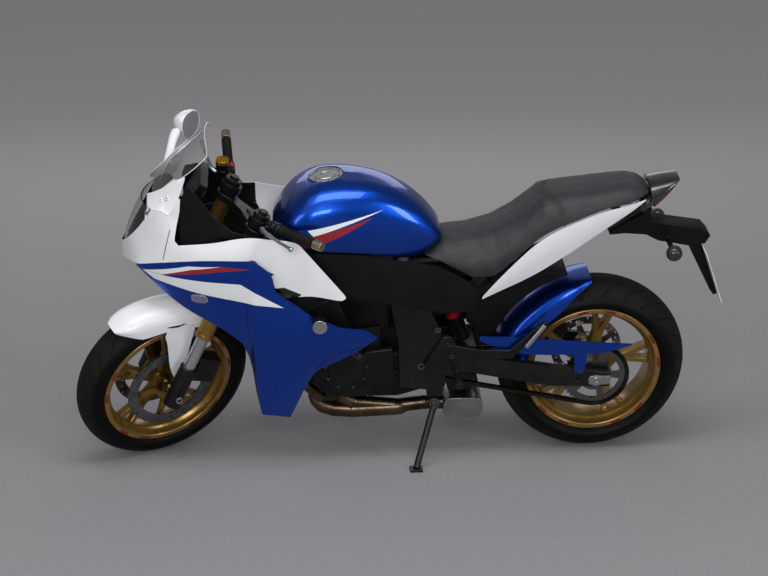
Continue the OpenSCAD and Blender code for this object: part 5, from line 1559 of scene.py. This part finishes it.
class BIKE_OT_stage(bpy.types.Operator):
    """Floor, soft light and the camera of the photograph"""
    bl_idname = "bike.stage"
    bl_label = "Make stage"

    def execute(self, context):
        scene = context.scene
        scene.view_settings.view_transform = "Standard"
        mesh = bpy.data.meshes.new("studio_floor")
        half = 40
        corners = [(-half, -half, 0), (half, -half, 0), (half, half, 0), (-half, half, 0)]
        mesh.from_pydata(corners, [], [(0, 1, 2, 3)])
        floor = bpy.data.objects.new("studio_floor", mesh)
        scene.collection.objects.link(floor)
        mat, tree, shader, place = start("studio_floor", Matrix.Identity(4), Roughness=0.75,
                                         Specular_IOR_Level=0.2)
        soft = ramp(tree, noise(tree, place, 60.0, 5), 0.3, 0.7)
        # Painted light: the floor's colour grows lighter towards the far floor, standing in for light where
        # the lamps fall off.
        far = ramp(tree, put(tree, "SeparateXYZ", Vector=place).outputs["Y"], -7.0, 0.5, 1.0, 0.0)
        near_tone = blend(tree, soft, linear("8f8e91"), linear("939295"))
        tree.links.new(blend(tree, far, near_tone, linear("ccc9cd")), shader.inputs["Base Color"])
        mesh.materials.append(mat)
        world = bpy.data.worlds.new("studio")
        world.use_nodes = True
        sky = world.node_tree.nodes["Background"].inputs
        sky["Color"].default_value = (0.98, 0.99, 1.0, 1)
        sky["Strength"].default_value = 0.15
        scene.world = world
        # Lamps: name, place, target, width and height, and power
        lamps = [("top", (0.2, 1.6, 4.4), (0.1, 0.0, 0.5), (3.6, 1.5), 85),
                 ("front", (0.6, 6.6, 2.8), (0.1, 0, 0.5), (3.0, 1.6), 155),
                 ("front_fill", (4.8, 3.6, 2.4), (0.2, 0, 0.5), (1.0, 2.4), 35),
                 ("side_fill", (-4.6, 4.2, 2.4), (0, 0, 0.5), (1.0, 2.4), 85),
                 ("back", (0.0, -5.0, 3.2), (0, 0, 0.6), (5.0, 1.5), 28)]
        for label, spot, target, size, power in lamps:
            data = bpy.data.lights.new(label, "AREA")
            data.shape = "RECTANGLE"
            data.size, data.size_y = size
            data.energy = power
            self.placed(label, data, aim(Vector(spot), Vector(spot) - Vector(target)))
        data = bpy.data.lights.new("sky", "SUN")
        data.energy, data.angle = 0.45, math.radians(70)
        self.placed("sky", data, aim(Vector((1, 2, 4)), (0.25, 0.55, 1.0)))
        data = bpy.data.cameras.new("camera")
        data.sensor_width = 36
        data.lens = 84.5
        data.shift_x, data.shift_y = -0.0014, 0.0346
        scene.camera = self.placed(
            "camera", data, aim(Vector((0.3869, 5.6518, 2.1673)), (0.057608, 0.95782, 0.281519)))
        return {"FINISHED"}

    def placed(self, name, data, matrix):
        """Puts a lamp or the camera in the scene"""
        thing = bpy.data.objects.new(name, data)
        thing.matrix_world = matrix
        bpy.context.scene.collection.objects.link(thing)
        return thing


OPERATORS = [BIKE_OT_finishes, BIKE_OT_panels, BIKE_OT_trim, BIKE_OT_lamps, BIKE_OT_frame_parts,
             BIKE_OT_steering_parts, BIKE_OT_wheels, BIKE_OT_chain, BIKE_OT_seat,
             BIKE_OT_bolts, BIKE_OT_stage]


class BIKE_PT_panel(bpy.types.Panel):
    """Lists the steps that make the machine"""
    bl_idname = "BIKE_PT_panel"
    bl_label = "Parked Sport Bike"
    bl_space_type = "VIEW_3D"
    bl_region_type = "UI"
    bl_category = "Bike"

    def draw(self, context):
        for group_ in (context.scene.bike_colours, context.scene.bike_sizes):
            for key in group_.bl_rna.properties.keys():
                if key not in {"rna_type", "name"}:
                    self.layout.prop(group_, key)
        for cls in OPERATORS:
            self.layout.operator(cls.bl_idname)


CLASSES = [BikeColours, BikeSizes, *OPERATORS, BIKE_PT_panel]


def register():
    for cls in CLASSES:
        bpy.utils.register_class(cls)
    bpy.types.Scene.bike_colours = bpy.props.PointerProperty(type=BikeColours)
    bpy.types.Scene.bike_sizes = bpy.props.PointerProperty(type=BikeSizes)


def unregister():
    del bpy.types.Scene.bike_colours
    del bpy.types.Scene.bike_sizes
    for cls in reversed(CLASSES):
        bpy.utils.unregister_class(cls)


def main():
    register()
    for cls in OPERATORS:
        getattr(bpy.ops.bike, cls.bl_idname.split(".")[1])()


if __name__ == "__main__":
    main()
